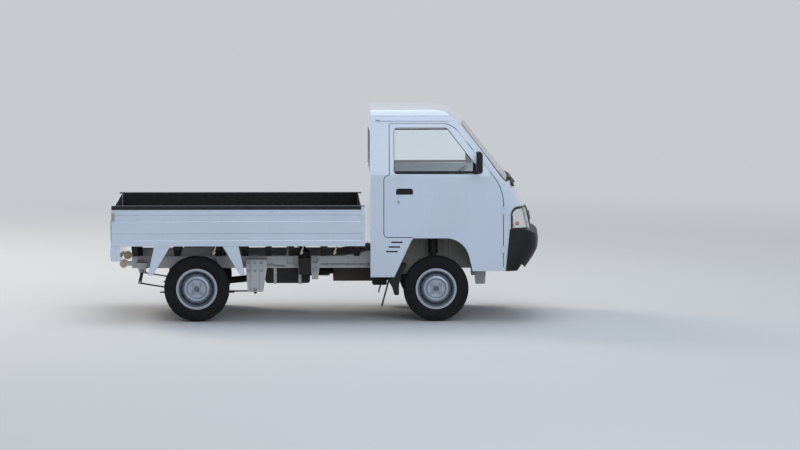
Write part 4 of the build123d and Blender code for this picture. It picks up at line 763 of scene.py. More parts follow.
class Form:
    """A mesh in the making, from tubes, turned rings, plates and bolts."""

    def __init__(self) -> None:
        """Starts with no points and no faces."""
        self.points: list[Vector] = []
        self.faces: list[tuple[int, ...]] = []

    def add(self, points: Iterable[Place], faces: Iterable[Sequence[int]]) -> "Form":
        """Adds points and the faces between them.

        Args:
            points: the new points.
            faces: the faces' corners, counted within the new points.

        Returns:
            This form.
        """
        start = len(self.points)
        self.points.extend(Vector(point) for point in points)
        self.faces.extend(tuple(start + corner for corner in face) for face in faces)
        return self

    def rings(self, rings: Sequence[Sequence[Vector]], closed: bool = False) -> "Form":
        """Joins rings of points into one skin.

        Args:
            rings: rings with as many points each.
            closed: whether the last ring joins the first; otherwise a face closes each end.

        Returns:
            This form.
        """
        count = len(rings[0])
        faces = []
        for number in range(len(rings) if closed else len(rings) - 1):
            this = number * count
            following = (number + 1) % len(rings) * count
            for corner in range(count):
                after = (corner + 1) % count
                faces.append((this + corner, this + after, following + after, following + corner))
        if not closed:
            faces.append(tuple(reversed(range(count))))
            faces.append(tuple(range((len(rings) - 1) * count, len(rings) * count)))
        return self.add([point for ring in rings for point in ring], faces)

    def tube(self, path: Sequence[Place], radius: float, sides: int, closed: bool = False) -> "Form":
        """A round tube with its sides' count round a path, which may be a closed loop."""
        return self.sweep(path, oval(radius, radius, sides), closed=closed)

    def sweep(
        self, path: Sequence[Place], section: Profile, closed: bool = False, up: Place = (0, 0, 1)
    ) -> "Form":
        """A section carried along a path.

        Args:
            path: the points of the path.
            section: (across, up) corners.
            closed: whether the path is a loop.
            up: the section's up direction.

        Returns:
            This form.
        """
        spots = [Vector(point) for point in path]
        rings = []
        for number, spot in enumerate(spots):
            before = spots[number - 1] if number or closed else spot
            after = spots[(number + 1) % len(spots)] if number + 1 < len(spots) or closed else spot
            way = (after - before).normalized()
            across = way.cross(Vector(up))
            if across.length < 1e-4:
                across = way.cross(Vector((0.3, 1, 0.1)))
            across.normalize()
            rise = across.cross(way).normalized()
            rings.append([spot + across * a + rise * b for a, b in section])
        return self.rings(rings, closed=closed)

    def turned(self, profile: Profile, centre: Place, way: Place, segments: int) -> "Form":
        """A profile of (along, radius) turned round an axis.

        Args:
            profile: corners of the profile, along the axis and out from it.
            centre: the point on the axis where along is 0.
            way: the axis.
            segments: flats round the axis.

        Returns:
            This form.
        """
        axis, first, second = axes(way)
        middle = Vector(centre)
        points = []
        for angle in turns(segments):
            out = first * math.cos(angle) + second * math.sin(angle)
            points += [middle + axis * along + out * radius for along, radius in profile]
        count = len(profile)
        faces = []
        for number in range(segments):
            this = number * count
            following = (number + 1) % segments * count
            for corner in range(count - 1):
                faces.append((this + corner, following + corner, following + corner + 1, this + corner + 1))
        return self.add(points, faces)

    def block(self, low: Place, high: Place, edge: float = 0.002) -> "Form":
        """A block with chamfered edges.

        Args:
            low: its lowest corner.
            high: its highest corner.
            edge: the chamfers' size; on a thin block it is at most a third of the thickness.

        Returns:
            This form.
        """
        x0, y0, z0 = low
        x1, y1, z1 = high
        edge = min(edge, (x1 - x0) / 3, (y1 - y0) / 3, (z1 - z0) / 3)
        rings = []
        for z, inset in ((z0, edge), (z0 + edge, 0.0), (z1 - edge, 0.0), (z1, edge)):
            a, b, c, d = x0 + inset, x1 - inset, y0 + inset, y1 - inset
            rings.append([
                Vector((x, y, z)) for x, y in (
                    (a + edge, c), (b - edge, c), (b, c + edge), (b, d - edge),
                    (b - edge, d), (a + edge, d), (a, d - edge), (a, c + edge),
                )
            ])
        return self.rings(rings)

    def block_at(self, spot: Vector, low: Place, high: Place, edge: float = 0.002) -> "Form":
        """A block whose corners are counted from a spot."""
        return self.block(spot + Vector(low), spot + Vector(high), edge)

    def prism(self, outline: Sequence[Place], shift: Place, edge: float = 0.0) -> "Form":
        """A plate from a flat outline.

        Args:
            outline: the corners of its first face.
            shift: the way to its far face.
            edge: how much the far face is drawn in.

        Returns:
            This form.
        """
        first = [Vector(point) for point in outline]
        middle = sum(first, Vector()) / len(first)
        move = Vector(shift)
        rings = [first]
        if edge:
            share = 1 - edge / move.length
            inner = [point + (middle - point).normalized() * edge for point in first]
            rings += [[point + move * share for point in first], [point + move for point in inner]]
        else:
            rings.append([point + move for point in first])
        return self.rings(rings)

    def bolt(self, place: Place, way: Place, radius: float, height: float) -> "Form":
        """A hexagon bolt head on its washer.

        Args:
            place: the middle of its foot.
            way: the way that it stands.
            radius: the head's radius over its corners.
            height: its height.

        Returns:
            This form.
        """
        axis, first, second = axes(way)
        spot = Vector(place)
        ring = [first * math.cos(angle) + second * math.sin(angle) for angle in turns(6)]
        rings = []
        for along, size in ((0.0, 1.35), (0.2, 1.35), (0.2, 1.0), (0.85, 1.0), (1.0, 0.86)):
            rings.append([spot + axis * along * height + out * radius * size for out in ring])
        return self.rings(rings)

    def mirrored(self) -> "Form":
        """The same form on the truck's other side."""
        other = Form()
        other.points = [Vector((point.x, -point.y, point.z)) for point in self.points]
        other.faces = [tuple(reversed(face)) for face in self.faces]
        return other


def placed(name: str, data: bpy.types.ID) -> Object:
    """A new object of the scene, from a mesh, a light or a camera.

    Args:
        name: its name.
        data: what it shows.

    Returns:
        The object.
    """
    made = bpy.data.objects.new(name, data)
    bpy.context.scene.collection.objects.link(made)
    return made


def axes(way: Place) -> tuple[Vector, Vector, Vector]:
    """A direction of length 1, and two more at right angles to it and to each other."""
    axis = Vector(way).normalized()
    first = axis.orthogonal().normalized()
    return axis, first, axis.cross(first)


def turns(count: int) -> list[float]:
    """Angles of one full turn in equal steps."""
    return [2 * math.pi * number / count for number in range(count)]


def spoke(angle: float) -> Vector:
    """The way out from a wheel's axis at an angle from straight ahead."""
    return Vector((math.cos(angle), 0, math.sin(angle)))


def ahead(x: float, y: float, z: float) -> Point:
    """A point counted in millimetres from below the front axle."""
    return (FRONT_AXLE_X + x * MM, y * MM, z * MM)


def oval(across: float, up: float, sides: int = 8) -> Profile:
    """An oval section."""
    return tuple((across * math.cos(angle), up * math.sin(angle)) for angle in turns(sides))


def strip(width: float, height: float) -> Profile:
    """A flat strip's section with softened edges.

    Args:
        width: the whole width.
        height: the whole thickness.

    Returns:
        (across, up) of the section's corners.
    """
    a, b = width / 2, height / 2
    edge = min(a, b) * 0.6
    return (
        (-a + edge, -b), (a - edge, -b), (a, -b + edge), (a, b - edge),
        (a - edge, b), (-a + edge, b), (-a, b - edge), (-a, -b + edge),
    )


def curve(points: Sequence[Place], steps: int = 6) -> list[Vector]:
    """A smooth line through some points.

    Args:
        points: the points that it passes through.
        steps: how many parts each stretch has.

    Returns:
        The line's points.
    """
    spots = [Vector(point) for point in points]
    spots = [2 * spots[0] - spots[1], *spots, 2 * spots[-1] - spots[-2]]
    line = []
    for a, b, c, d in zip(spots, spots[1:], spots[2:], spots[3:]):
        for step in range(steps):
            t = step / steps
            square, cube = 2 * a - 5 * b + 4 * c - d, 3 * b - a - 3 * c + d
            line.append(0.5 * (2 * b + (c - a) * t + square * t ** 2 + cube * t ** 3))
    line.append(spots[-2])
    return line


def skin_of(mesh: Mesh) -> BVHTree:
    """A mesh's skin, ready to be searched."""
    return BVHTree.FromPolygons(
        [vertex.co for vertex in mesh.vertices], [tuple(face.vertices) for face in mesh.polygons]
    )


def rim_edges(node: str, look: Vector, side: float) -> tuple[list[Vector], dict[int, list[int]]]:
    """The edges round those faces of a CAD piece that look one way.

    Args:
        node: the piece's name.
        look: the direction that the wanted faces look in.
        side: keeps only what has this sign of Y, or everything if 0.

    Returns:
        The places of the corners, and each rim corner's neighbours along the rim.
    """
    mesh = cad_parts[node].data
    numbers: dict[tuple, int] = {}
    spots: list[Vector] = []
    uses: dict[tuple[int, int], int] = {}
    for face in mesh.polygons:
        if face.normal.dot(look) < 0.35 or (side and face.center.y * side < 0):
            continue
        corners = []
        for index in face.vertices:
            point = mesh.vertices[index].co
            key = (round(point.x, 5), round(point.y, 5), round(point.z, 5))
            if key not in numbers:
                numbers[key] = len(spots)
                spots.append(point.copy())
            corners.append(numbers[key])
        for one, two in zip(corners, corners[1:] + corners[:1]):
            edge = (min(one, two), max(one, two))
            uses[edge] = uses.get(edge, 0) + 1
    links: dict[int, list[int]] = {}
    for (one, two), count in uses.items():
        if count == 1:
            links.setdefault(one, []).append(two)
            links.setdefault(two, []).append(one)
    return spots, links


def face_loop(node: str, way: Place, side: float = 0.0) -> list[Vector]:
    """The edge of a CAD piece's face that looks one way.

    Args:
        node: the piece's name.
        way: the direction that the wanted face looks in.
        side: keeps only what has this sign of Y, or everything if 0.

    Returns:
        The corners of the longest closed edge loop, in order.
    """
    spots, links = rim_edges(node, Vector(way).normalized(), side)
    loops = []
    while links:
        start = next(iter(links))
        loop = [start]
        here = start
        while links.get(here):
            following = links[here].pop()
            links[following].remove(here)
            if following == start:
                break
            loop.append(following)
            here = following
        for index in [index for index, rest in links.items() if not rest]:
            del links[index]
        loops.append([spots[index] for index in loop])
    return max(loops, key=lambda loop: sum((a - b).length for a, b in zip(loop, loop[1:])))


@dataclass
class Assembly:
    """A sub-assembly of the truck, with the materials and the skins that its pieces need."""

    shop: Shop
    probe: Probe

    def piece(
        self, form: Form, name: str, finish: str, slot: str, body: str = "chassis", flat: float = 40.0
    ) -> Object:
        """Makes one piece from a form.

        Args:
            form: its shape.
            name: its name.
            finish: the finish's name.
            slot: the record's material slot; not used.
            body: the CAD body that it rides on.
            flat: the angle in degrees above which an edge stays sharp.

        Returns:
            The new object.
        """
        mesh = bpy.data.meshes.new(name)
        mesh.from_pydata([tuple(point) for point in form.points], [], form.faces)
        mesh.validate()
        mesh.materials.append(self.shop.materials[finish])
        for face in mesh.polygons:
            face.use_smooth = True
        mesh.set_sharp_from_angle(angle=math.radians(flat))
        made = placed(name, mesh)
        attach(made, body)
        log.info("%s: %d faces on %s", name, len(mesh.polygons), body)
        return made

    def pair(self, form: Form, name: str, finish: str, slot: str, body: str = "chassis") -> None:
        """Makes the right side's piece from a form, and its mirrored twin.

        Args:
            form: the right side's shape.
            name: the pieces' name, before the side.
            finish: the finish's name.
            slot: the record's material slot.
            body: the CAD body that they ride on, with {} for the side.
        """
        for side in Side:
            own = form if side is Side.RIGHT else form.mirrored()
            self.piece(own, f"{name}_{side.word}", finish, slot, body.format(side.word))


@dataclass
class Tyre(Assembly):
    """One road tyre with ribs, sipes and shoulder blocks, in place of the plain solid."""

    end: End
    side: Side
    pitches: int = 72
    steps: int = 4
    groove: float = 0.0065
    shoulder_cut: float = 0.8
    sipe_cut: float = 0.28
    bead: float = 0.1665

    def build(self) -> None:
        """Builds the tyre and puts it in place of its node."""
        name = f"{self.end.value}_{self.side.word}"
        low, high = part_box(f"tyre_{name}")
        middle = (low + high) / 2
        profile = self.profile((high.z - low.z) / 2, (high.y - low.y) / 2)
        rings = []
        for number, angle in enumerate(turns(self.pitches * self.steps)):
            way = Vector((math.sin(angle), 0, math.cos(angle)))
            step = number % self.steps
            ring = []
            for across, out, part in profile:
                if part == "shoulder" and step == 0:
                    out -= self.groove * self.shoulder_cut
                elif part == "rib" and step == (2 if across > 0 else 0):
                    out -= self.groove * self.sipe_cut
                ring.append(middle + way * out + Vector((0, across, 0)))
            rings.append(ring)
        form = Form().rings(rings, closed=True)
        tyre = self.piece(form, f"tyre_tread_{name}", "tyre_rubber", "tyre", f"road_wheel_{name}", flat=32)
        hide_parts(f"tyre_{name}")

    def profile(self, radius: float, half: float) -> list[tuple[float, float, str]]:
        """The tyre's section.

        Args:
            radius: the tyre's outer radius.
            half: half of its width.

        Returns:
            (across, radius, part) from one bead over the tread to the other and back inside.
        """
        crown = radius - 0.0015
        flank = [
            (0.057, self.bead + 0.001), (0.059, 0.1825), (0.0635, 0.1855), (0.068, 0.19),
            (0.071, 0.197), (0.0722, 0.198), (0.0738, 0.207), (half - 0.0008, 0.222),
            (half - 0.0002, 0.224), (half, 0.236), (half - 0.0008, 0.247), (half - 0.0026, 0.25),
            (half - 0.0032, 0.259), (half - 0.0058, 0.2665),
        ]
        shoulder = [
            (half - 0.0075, radius - 0.0165), (half - 0.0095, radius - 0.0095),
            (half - 0.013, radius - 0.0045), (half - 0.0175, radius - 0.0022), (0.042, crown),
        ]
        groove = radius - self.groove
        ribs = [
            (0.0415, groove, "wall"), (0.0355, groove, "wall"), (0.035, crown, "rib"),
            (0.025, radius - 0.0006, "rib"), (0.0155, crown + 0.0012, "rib"), (0.015, groove, "wall"),
            (0.009, groove, "wall"), (0.0085, radius - 0.0002, "rib"), (0.0, radius, "rib"),
        ]
        half_section = [(a, r, "flank") for a, r in flank] + [(a, r, "shoulder") for a, r in shoulder] + ribs
        other = [(-a, r, part) for a, r, part in reversed(half_section[:-1])]
        inner = [(-0.045, self.bead - 0.002, "inner"), (0.045, self.bead - 0.002, "inner")]
        return [*half_section, *other, *inner]


@dataclass
class RoadWheel(Assembly):
    """What a steel wheel carries besides its CAD solid: nuts, hub cap and valve."""

    end: End
    side: Side
    nuts: int = 4
    nut_circle: float = 0.055
    nut_seat: float = 0.0365
    nut_size: Pair = (0.0125, 0.015)
    cap_profile: Profile = (
        (0.0541, 0), (0.0541, 0.0245), (0.0562, 0.0235), (0.0566, 0.018), (0.0556, 0.0165),
        (0.0556, 0.011), (0.059, 0.0105), (0.0598, 0.007), (0.06, 0),
    )
    valve_circle: float = 0.134
    valve_seat: float = 0.016
    valve_steps: Profile = ((0.018, 0.0048), (0.013, 0.0034))
    # Radii of the hollow round the disc that gets painted shade
    painted_shade_band: Pair = (0.128, 0.16)

    def build(self) -> None:
        """Builds the nuts, the cap and the valve, and paints shade into the hollow round the disc."""
        name = f"{self.end.value}_{self.side.word}"
        body = f"road_wheel_{name}"
        low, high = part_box(f"wheel_{name}")
        middle = (low + high) / 2
        out = Vector((0, self.side.sign, 0))
        nuts = Form()
        for number in range(self.nuts):
            way = spoke(math.radians(45 + 360 * number / self.nuts))
            nuts.bolt(middle + way * self.nut_circle + out * self.nut_seat, out, *self.nut_size)
        self.piece(nuts, f"wheel_nuts_{name}", "zinc_bolt", "wheel_silver", body)
        cap = Form().turned(self.cap_profile, middle, out, 32)
        self.piece(cap, f"hub_cap_{name}", "dark_grey_and_painted_shade", "black_plastic", body)
        way = spoke(math.radians(145 if self.end is End.FRONT else 205))
        valve = Form()
        root = middle + way * self.valve_circle + out * self.valve_seat
        for length, radius in self.valve_steps:
            tip = root + way * 0.002 + out * length
            valve.tube([root, tip], radius, 8)
            root = tip
        self.piece(valve, f"valve_{name}", "seal_rubber", "black_plastic", body)
        # Painted shade: the faces in the hollow round the disc get the dark finish
        inner, outer = self.painted_shade_band
        self.shop.dress_faces(
            f"wheel_{name}", "dark_grey_and_painted_shade",
            lambda face, _: inner < math.hypot(face.x - middle.x, face.z - middle.z) < outer,
        )


@dataclass
class Glazing(Assembly):
    """Rubber seals round every pane, and the felts above and below the door glass."""

    door_bead: float = 0.0055
    felt_reach: float = 0.014
    felt_out: float = 0.003
    felts: Profile = ((0.02, 0.006), (0.011, -0.002))
    felt_thickness: float = 0.007
    panes: tuple[tuple[str, Point, Point, float], ...] = (
        ("windscreen_seal", (0.8, 0, 0.6), (0.78, 0, 0.62), 0.0125),
        ("rear_window_seal", (-1, 0, 0), (-1, 0, 0), 0.0115),
    )

    def build(self) -> None:
        """Builds the seals from the panes' own edges."""
        for side in Side:
            self.door(side)
        for name, way, up, size in self.panes:
            form = Form().sweep(face_loop("cab_glass", way), oval(size, 0.55 * size), closed=True, up=up)
            self.piece(form, name, "seal_rubber", "black_plastic")

    def door(self, side: Side) -> None:
        """Builds one door's seal and felts.

        Args:
            side: the door's side.
        """
        out = (0, side.sign, 0)
        loop = face_loop(f"door_glass_{side.word}", (0, side.sign, 0.15))
        form = Form().sweep(loop, oval(self.door_bead, 0.55 * self.door_bead), closed=True, up=out)
        lowest = min(point.z for point in loop)
        highest = max(point.z for point in loop)
        foot = [point for point in loop if point.z < lowest + self.felt_reach]
        head = [point for point in loop if point.z > highest - self.felt_reach]
        for run, (width, shift) in zip((foot, head), self.felts):
            ends = min(run, key=lambda point: point.x), max(run, key=lambda point: point.x)
            line = [point + Vector((0, side.sign * self.felt_out, shift)) for point in ends]
            form.sweep(line, strip(width, self.felt_thickness), up=out)
        self.piece(
            form, f"door_window_seal_{side.word}", "seal_rubber", "black_plastic", f"door_{side.word}"
        )


@dataclass
class Lamps(Assembly):
    """The headlamps' surrounds, bulbs and reflectors, and the tail lamps' lenses."""

    bowl: Point = (2.2, -0.59, 0.905)
    surround: Pair = (0.012, 0.005)
    bulb: Profile = ((0, 0.016), (0.012, 0.016), (0.014, 0.0085), (0.03, 0.0085), (0.036, 0.005), (0.038, 0))
    rings: Row = (0.03, 0.044)
    ring_wire: float = 0.0022
    turn_place: Point = (712, -1200, 868)
    turn_dome: Profile = ((0, 0.019), (0.004, 0.019), (0.01, 0.014), (0.013, 0.007), (0.014, 0))
    lenses: tuple[tuple[str, str, float, float], ...] = (
        ("white", "lamp_white", 0, 0.24),
        ("red", "tail_red", 0.25, 0.66),
        ("amber", "turn_amber", 0.67, 1.0),
    )

    def build(self) -> None:
        """Builds the front lamps, then the rear ones."""
        for side in Side:
            look = (0.75, side.sign * 0.62, 0.1)
            loop = face_loop("headlamp_lenses", look, side.sign)
            form = Form().sweep(loop, oval(*self.surround), closed=True, up=look)
            self.piece(form, f"headlamp_surround_{side.word}", "gloss_black", "black_plastic")
        seat, _ = self.probe.touch("headlamps", self.bowl, (-1, 0, 0))
        bulb = Form().turned(self.bulb, seat, (1, 0, 0), 20)
        self.pair(bulb, "headlamp_bulb", "bright_reflector", "lamp_reflector")
        rings = Form()
        for radius in self.rings:
            ahead_of_seat = 0.006 + radius * 0.35
            path = [
                seat + Vector((ahead_of_seat, radius * math.cos(a), radius * math.sin(a))) for a in turns(28)
            ]
            rings.tube(path, self.ring_wire, 6, closed=True)
        self.pair(rings, "headlamp_rings", "bright_reflector", "lamp_reflector")
        spot, normal = self.probe.touch("headlamps", ahead(*self.turn_place), (0, 1, 0))
        self.pair(
            Form().turned(self.turn_dome, spot, normal, 20), "turn_bulb", "turn_amber", "lamp_reflector"
        )
        for side in Side:
            self.rear(side)

    def rear(self, side: Side) -> None:
        """Builds a tail lamp as three lenses on a black housing, in place of its CAD solid.

        Args:
            side: the lamp's side.
        """
        low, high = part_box("tail_lamps")
        depth = high.x - low.x
        inner = min(abs(vertex.co.y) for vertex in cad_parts["tail_lamps"].data.vertices)
        width = high.y - inner
        parts = [
            ("housing", "gloss_black", 0.005, 0.995, low.x + depth * 0.55, high.x - 0.0005, 0.0005, 0.002)
        ]
        for word, finish, start, end in self.lenses:
            parts.append((word, finish, start + 0.01, end - 0.01, low.x, low.x + depth * 0.6, 0.003, 0.004))
        for word, finish, start, end, rear_x, front_x, inset, edge in parts:
            y0, y1 = sorted((side.sign * (inner + width * start), side.sign * (inner + width * end)))
            form = Form().block((rear_x, y0, low.z + inset), (front_x, y1, high.z - inset), edge)
            made = self.piece(form, f"tail_lamp_{word}_{side.word}", finish, "tail_lens")
            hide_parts("tail_lamps")


@dataclass
class CabTrim(Assembly):
    """What the cab carries outside: slot fillings, lock, gutter plug, mirror faces, front slats and cowl."""

    slots: Profile = ((-298, 696), (-320, 655), (-342, 614))
    slot_length: float = 100
    slot_height: float = 14
    slot_gap: float = 0.5
    slot_depth: Pair = (-742, -737)
    lock_place: Point = (-334, -1200, 1060)
    lock: Profile = (
        (0, 0.0115), (0.002, 0.0115), (0.0035, 0.0095), (0.0035, 0.0065), (0.0022, 0.006), (0.0022, 0),
    )
    plug_place: Point = (-515, -1200, 1772)
    mirror_low: Point = (340.6, -906, 1330)
    mirror_high: Point = (342.4, -804, 1496)
    intake_half: float = 0.3
    intake_rows: Row = (0.862, 0.882, 0.902, 0.922, 0.942)
    intake_slats: Row = (0.878, 0.902, 0.926)
    intake_columns: int = 24
    intake_depth: float = 0.012
    cowl_bars: int = 3

    def build(self) -> None:
        """Builds every piece for both sides."""
        form = Form()
        outer, inner = self.slot_depth
        for front, low in self.slots:
            form.block(
                ahead(front - self.slot_length + 2 * self.slot_gap, outer, low + self.slot_gap),
                ahead(front - 2 * self.slot_gap, inner, low + self.slot_height - self.slot_gap),
            )
        self.pair(form, "air_slot", "gloss_black", "black_plastic")
        key, way = self.probe.touch("door_right", ahead(*self.lock_place), (0, 1, 0))
        form = Form().turned(self.lock, key, way, 24)
        form.block_at(key, (-0.0012, -0.0042, -0.004), (0.0012, -0.0022, 0.004), edge=0.0003)
        self.pair(form, "door_lock", "zinc_bolt", "black_plastic", "door_{}")
        plug, _ = self.probe.touch("cab_roof", ahead(*self.plug_place), (0, 1, 0))
        form = Form().block_at(plug, (-0.017, -0.006, -0.006), (0.015, 0.004, 0.004))
        self.pair(form, "gutter_plug", "seal_rubber", "black_plastic")
        form = Form().block(ahead(*self.mirror_low), ahead(*self.mirror_high), edge=0.001)
        self.pair(form, "mirror_glass", "mirror_face", "black_plastic", "door_{}")
        self.intake()
        self.cowl()

    def nose(self, y: float, z: float, out: float) -> Vector:
        """A point just ahead of the front panel's skin."""
        return self.probe.touch("front_panel", (2.3, y, z), (-1, 0, 0))[0] + Vector((out, 0, 0))

    def intake(self) -> None:
        """Builds the air intake between the lamps: a dark patch that follows the nose, and its slats."""
        half, columns = self.intake_half, self.intake_columns
        across = [half * (2 * number / columns - 1) for number in range(columns + 1)]
        rows = [[self.nose(y, z, 0.0015) for y in across] for z in self.intake_rows]
        back = Vector((self.intake_depth, 0, 0))
        rings = []
        for column in range(len(across)):
            front = [row[column] for row in rows]
            rings.append(front[::-1] + [point - back for point in front])
        self.piece(Form().rings(rings), "front_intake", "gloss_black", "black_plastic")
        slats = Form()
        for z in self.intake_slats:
            slats.sweep([self.nose(y, z, 0.004) for y in across], strip(0.009, 0.007), up=(1, 0, 0))
        self.piece(slats, "front_intake_slats", "black_plastic", "black_plastic")

    def cowl(self) -> None:
        """Builds the black air grille below the windscreen."""
        loop = face_loop("cab_glass", (0.8, 0, 0.6))
        lowest = min(point.z for point in loop)
        foot = [point for point in loop if point.z < lowest + 0.02 and abs(point.y) < 0.56]
        foot.sort(key=lambda point: point.y)
        form = Form()
        for number in range(self.cowl_bars):
            step = Vector((0.012 + 0.0085 * number, 0, -0.016 - 0.0105 * number))
            form.sweep([point + step for point in foot], strip(0.006, 0.008), up=(0.78, 0, 0.62))
        self.piece(form, "cowl_grille", "black_plastic", "black_plastic")


@dataclass
class LoadBed(Assembly):
    """The load bed's liner ribs, cap beads that paint a highlight, seams, catches, hooks and reflectors; the
    catches and hooks carry painted sunlight.
    """

    rear_x: float = -1.848
    front_x: float = 0.292
    inner_y: float = 0.741
    deck_z: float = 0.711
    wall_low: float = 0.728
    wall_high: float = 0.985
    deck_ribs: int = 20
    side_ribs: int = 23
    end_ribs: int = 16
    cap: Point = (-1.886, -0.7735, 1.0262)
    cap_front: float = 0.334
    bead: float = 0.0062
    seams: Row = (-2550, -2005, -1441, -873)
    hooks: Row = (-1952, -1183, -890)
    hook_path: Route = (
        (14, -742, 690), (8, -744, 655), (-6, -750, 622), (-13, -762, 606), (-6, -775, 606), (6, -777, 624),
    )
    reflector: Point = (-1.896, -0.42, 0.603)
    reflector_profile: Profile = ((0, 0.031), (0.0022, 0.031), (0.0036, 0.027), (0.0036, 0))

    def build(self) -> None:
        """Builds everything on and in the load bed."""
        self.liner()
        self.sides()
        self.catches()
        self.rope_hooks()
        form = Form().turned(self.reflector_profile, self.reflector, (-1, 0, 0), 32)
        self.pair(form, "rear_reflector", "tail_red", "tail_lens")

    def liner(self) -> None:
        """Builds the ribs of the deck, the sides, the front and the tailgate."""
        deck = Form()
        for number in range(self.deck_ribs + 1):
            y = (number / self.deck_ribs * 2 - 1) * 0.705
            low = (self.rear_x, y - 0.013, self.deck_z - 0.0005)
            deck.block(low, (self.front_x, y + 0.013, self.deck_z + 0.005), edge=0.003)
        self.piece(deck, "deck_ribs", "bed_liner", "bed_liner")
        walls = Form()
        step = (self.front_x - self.rear_x) / self.side_ribs
        for number in range(self.side_ribs):
            x = self.rear_x + step * (number + 0.5)
            low = (x - 0.016, -self.inner_y - 0.0005, self.wall_low)
            walls.block(low, (x + 0.016, -self.inner_y + 0.0045, self.wall_high), edge=0.003)
        self.pair(walls, "side_ribs", "bed_liner", "bed_liner")
        front = Form()
        gate = Form()
        for number in range(self.end_ribs):
            y = (number / (self.end_ribs - 1) * 2 - 1) * 0.66
            for form, rear_x, front_x, low in (
                (front, 0.2935, 0.2985, self.wall_low), (gate, -1.8605, -1.8565, 0.745)
            ):
                form.block((rear_x, y - 0.016, low), (front_x, y + 0.016, self.wall_high), edge=0.002)
        self.piece(front, "front_ribs", "bed_liner", "bed_liner")
        self.piece(gate, "tailgate_ribs", "bed_liner", "bed_liner", "tailgate")

    def sides(self) -> None:
        """Builds the grey beads on the caps, which paint a highlight along their top edge, and the small
        seams below them.
        """
        bead = Form().tube([self.cap, (self.cap_front, *self.cap[1:])], self.bead, 10)
        self.pair(bead, "cap_highlight_bead", "painted_highlight_grey", "bed_liner")
        seams = Form()
        for x in self.seams:
            low, _ = self.probe.touch("bed_sides", ahead(x, -1200, 957), (0, 1, 0))
            seams.block_at(low, (-0.002, -0.0014, -0.004), (0.002, 0.001, 0.03), edge=0.0006)
        self.pair(seams, "side_seams", "rail_beige", "body_paint")

    def rope_hooks(self) -> None:
        """Builds the rope hooks below the sides, coloured with painted sunlight and glints."""
        hooks = Form()
        for start in self.hooks:
            hooks.tube(curve([ahead(start + x, y, z) for x, y, z in self.hook_path], 4), self.bead, 8)
        self.pair(hooks, "rope_hooks", "painted_sunlight_cream", "body_paint")

    def catches(self) -> None:
        """Builds the tailgate's catches at the ends of the sides; the plate is coloured with painted
        sunlight.
        """
        plate = Form().block((-1.886, -0.7845, 0.898), (-1.861, -0.7775, 0.968), edge=0.002)
        self.pair(plate, "gate_catch_plate", "painted_sunlight_cream", "body_paint")
        path = [(-1.874, -0.789, 0.906), (-1.874, -0.792, 0.93), (-1.874, -0.789, 0.96)]
        lever = Form().sweep(path, strip(0.01, 0.004), up=(0, -1, 0))
        lever.tube([(-1.874, -0.78, 0.958), (-1.874, -0.794, 0.958)], 0.0045, 10)
        self.pair(lever, "gate_catch_lever", "zinc_bolt", "body_paint")


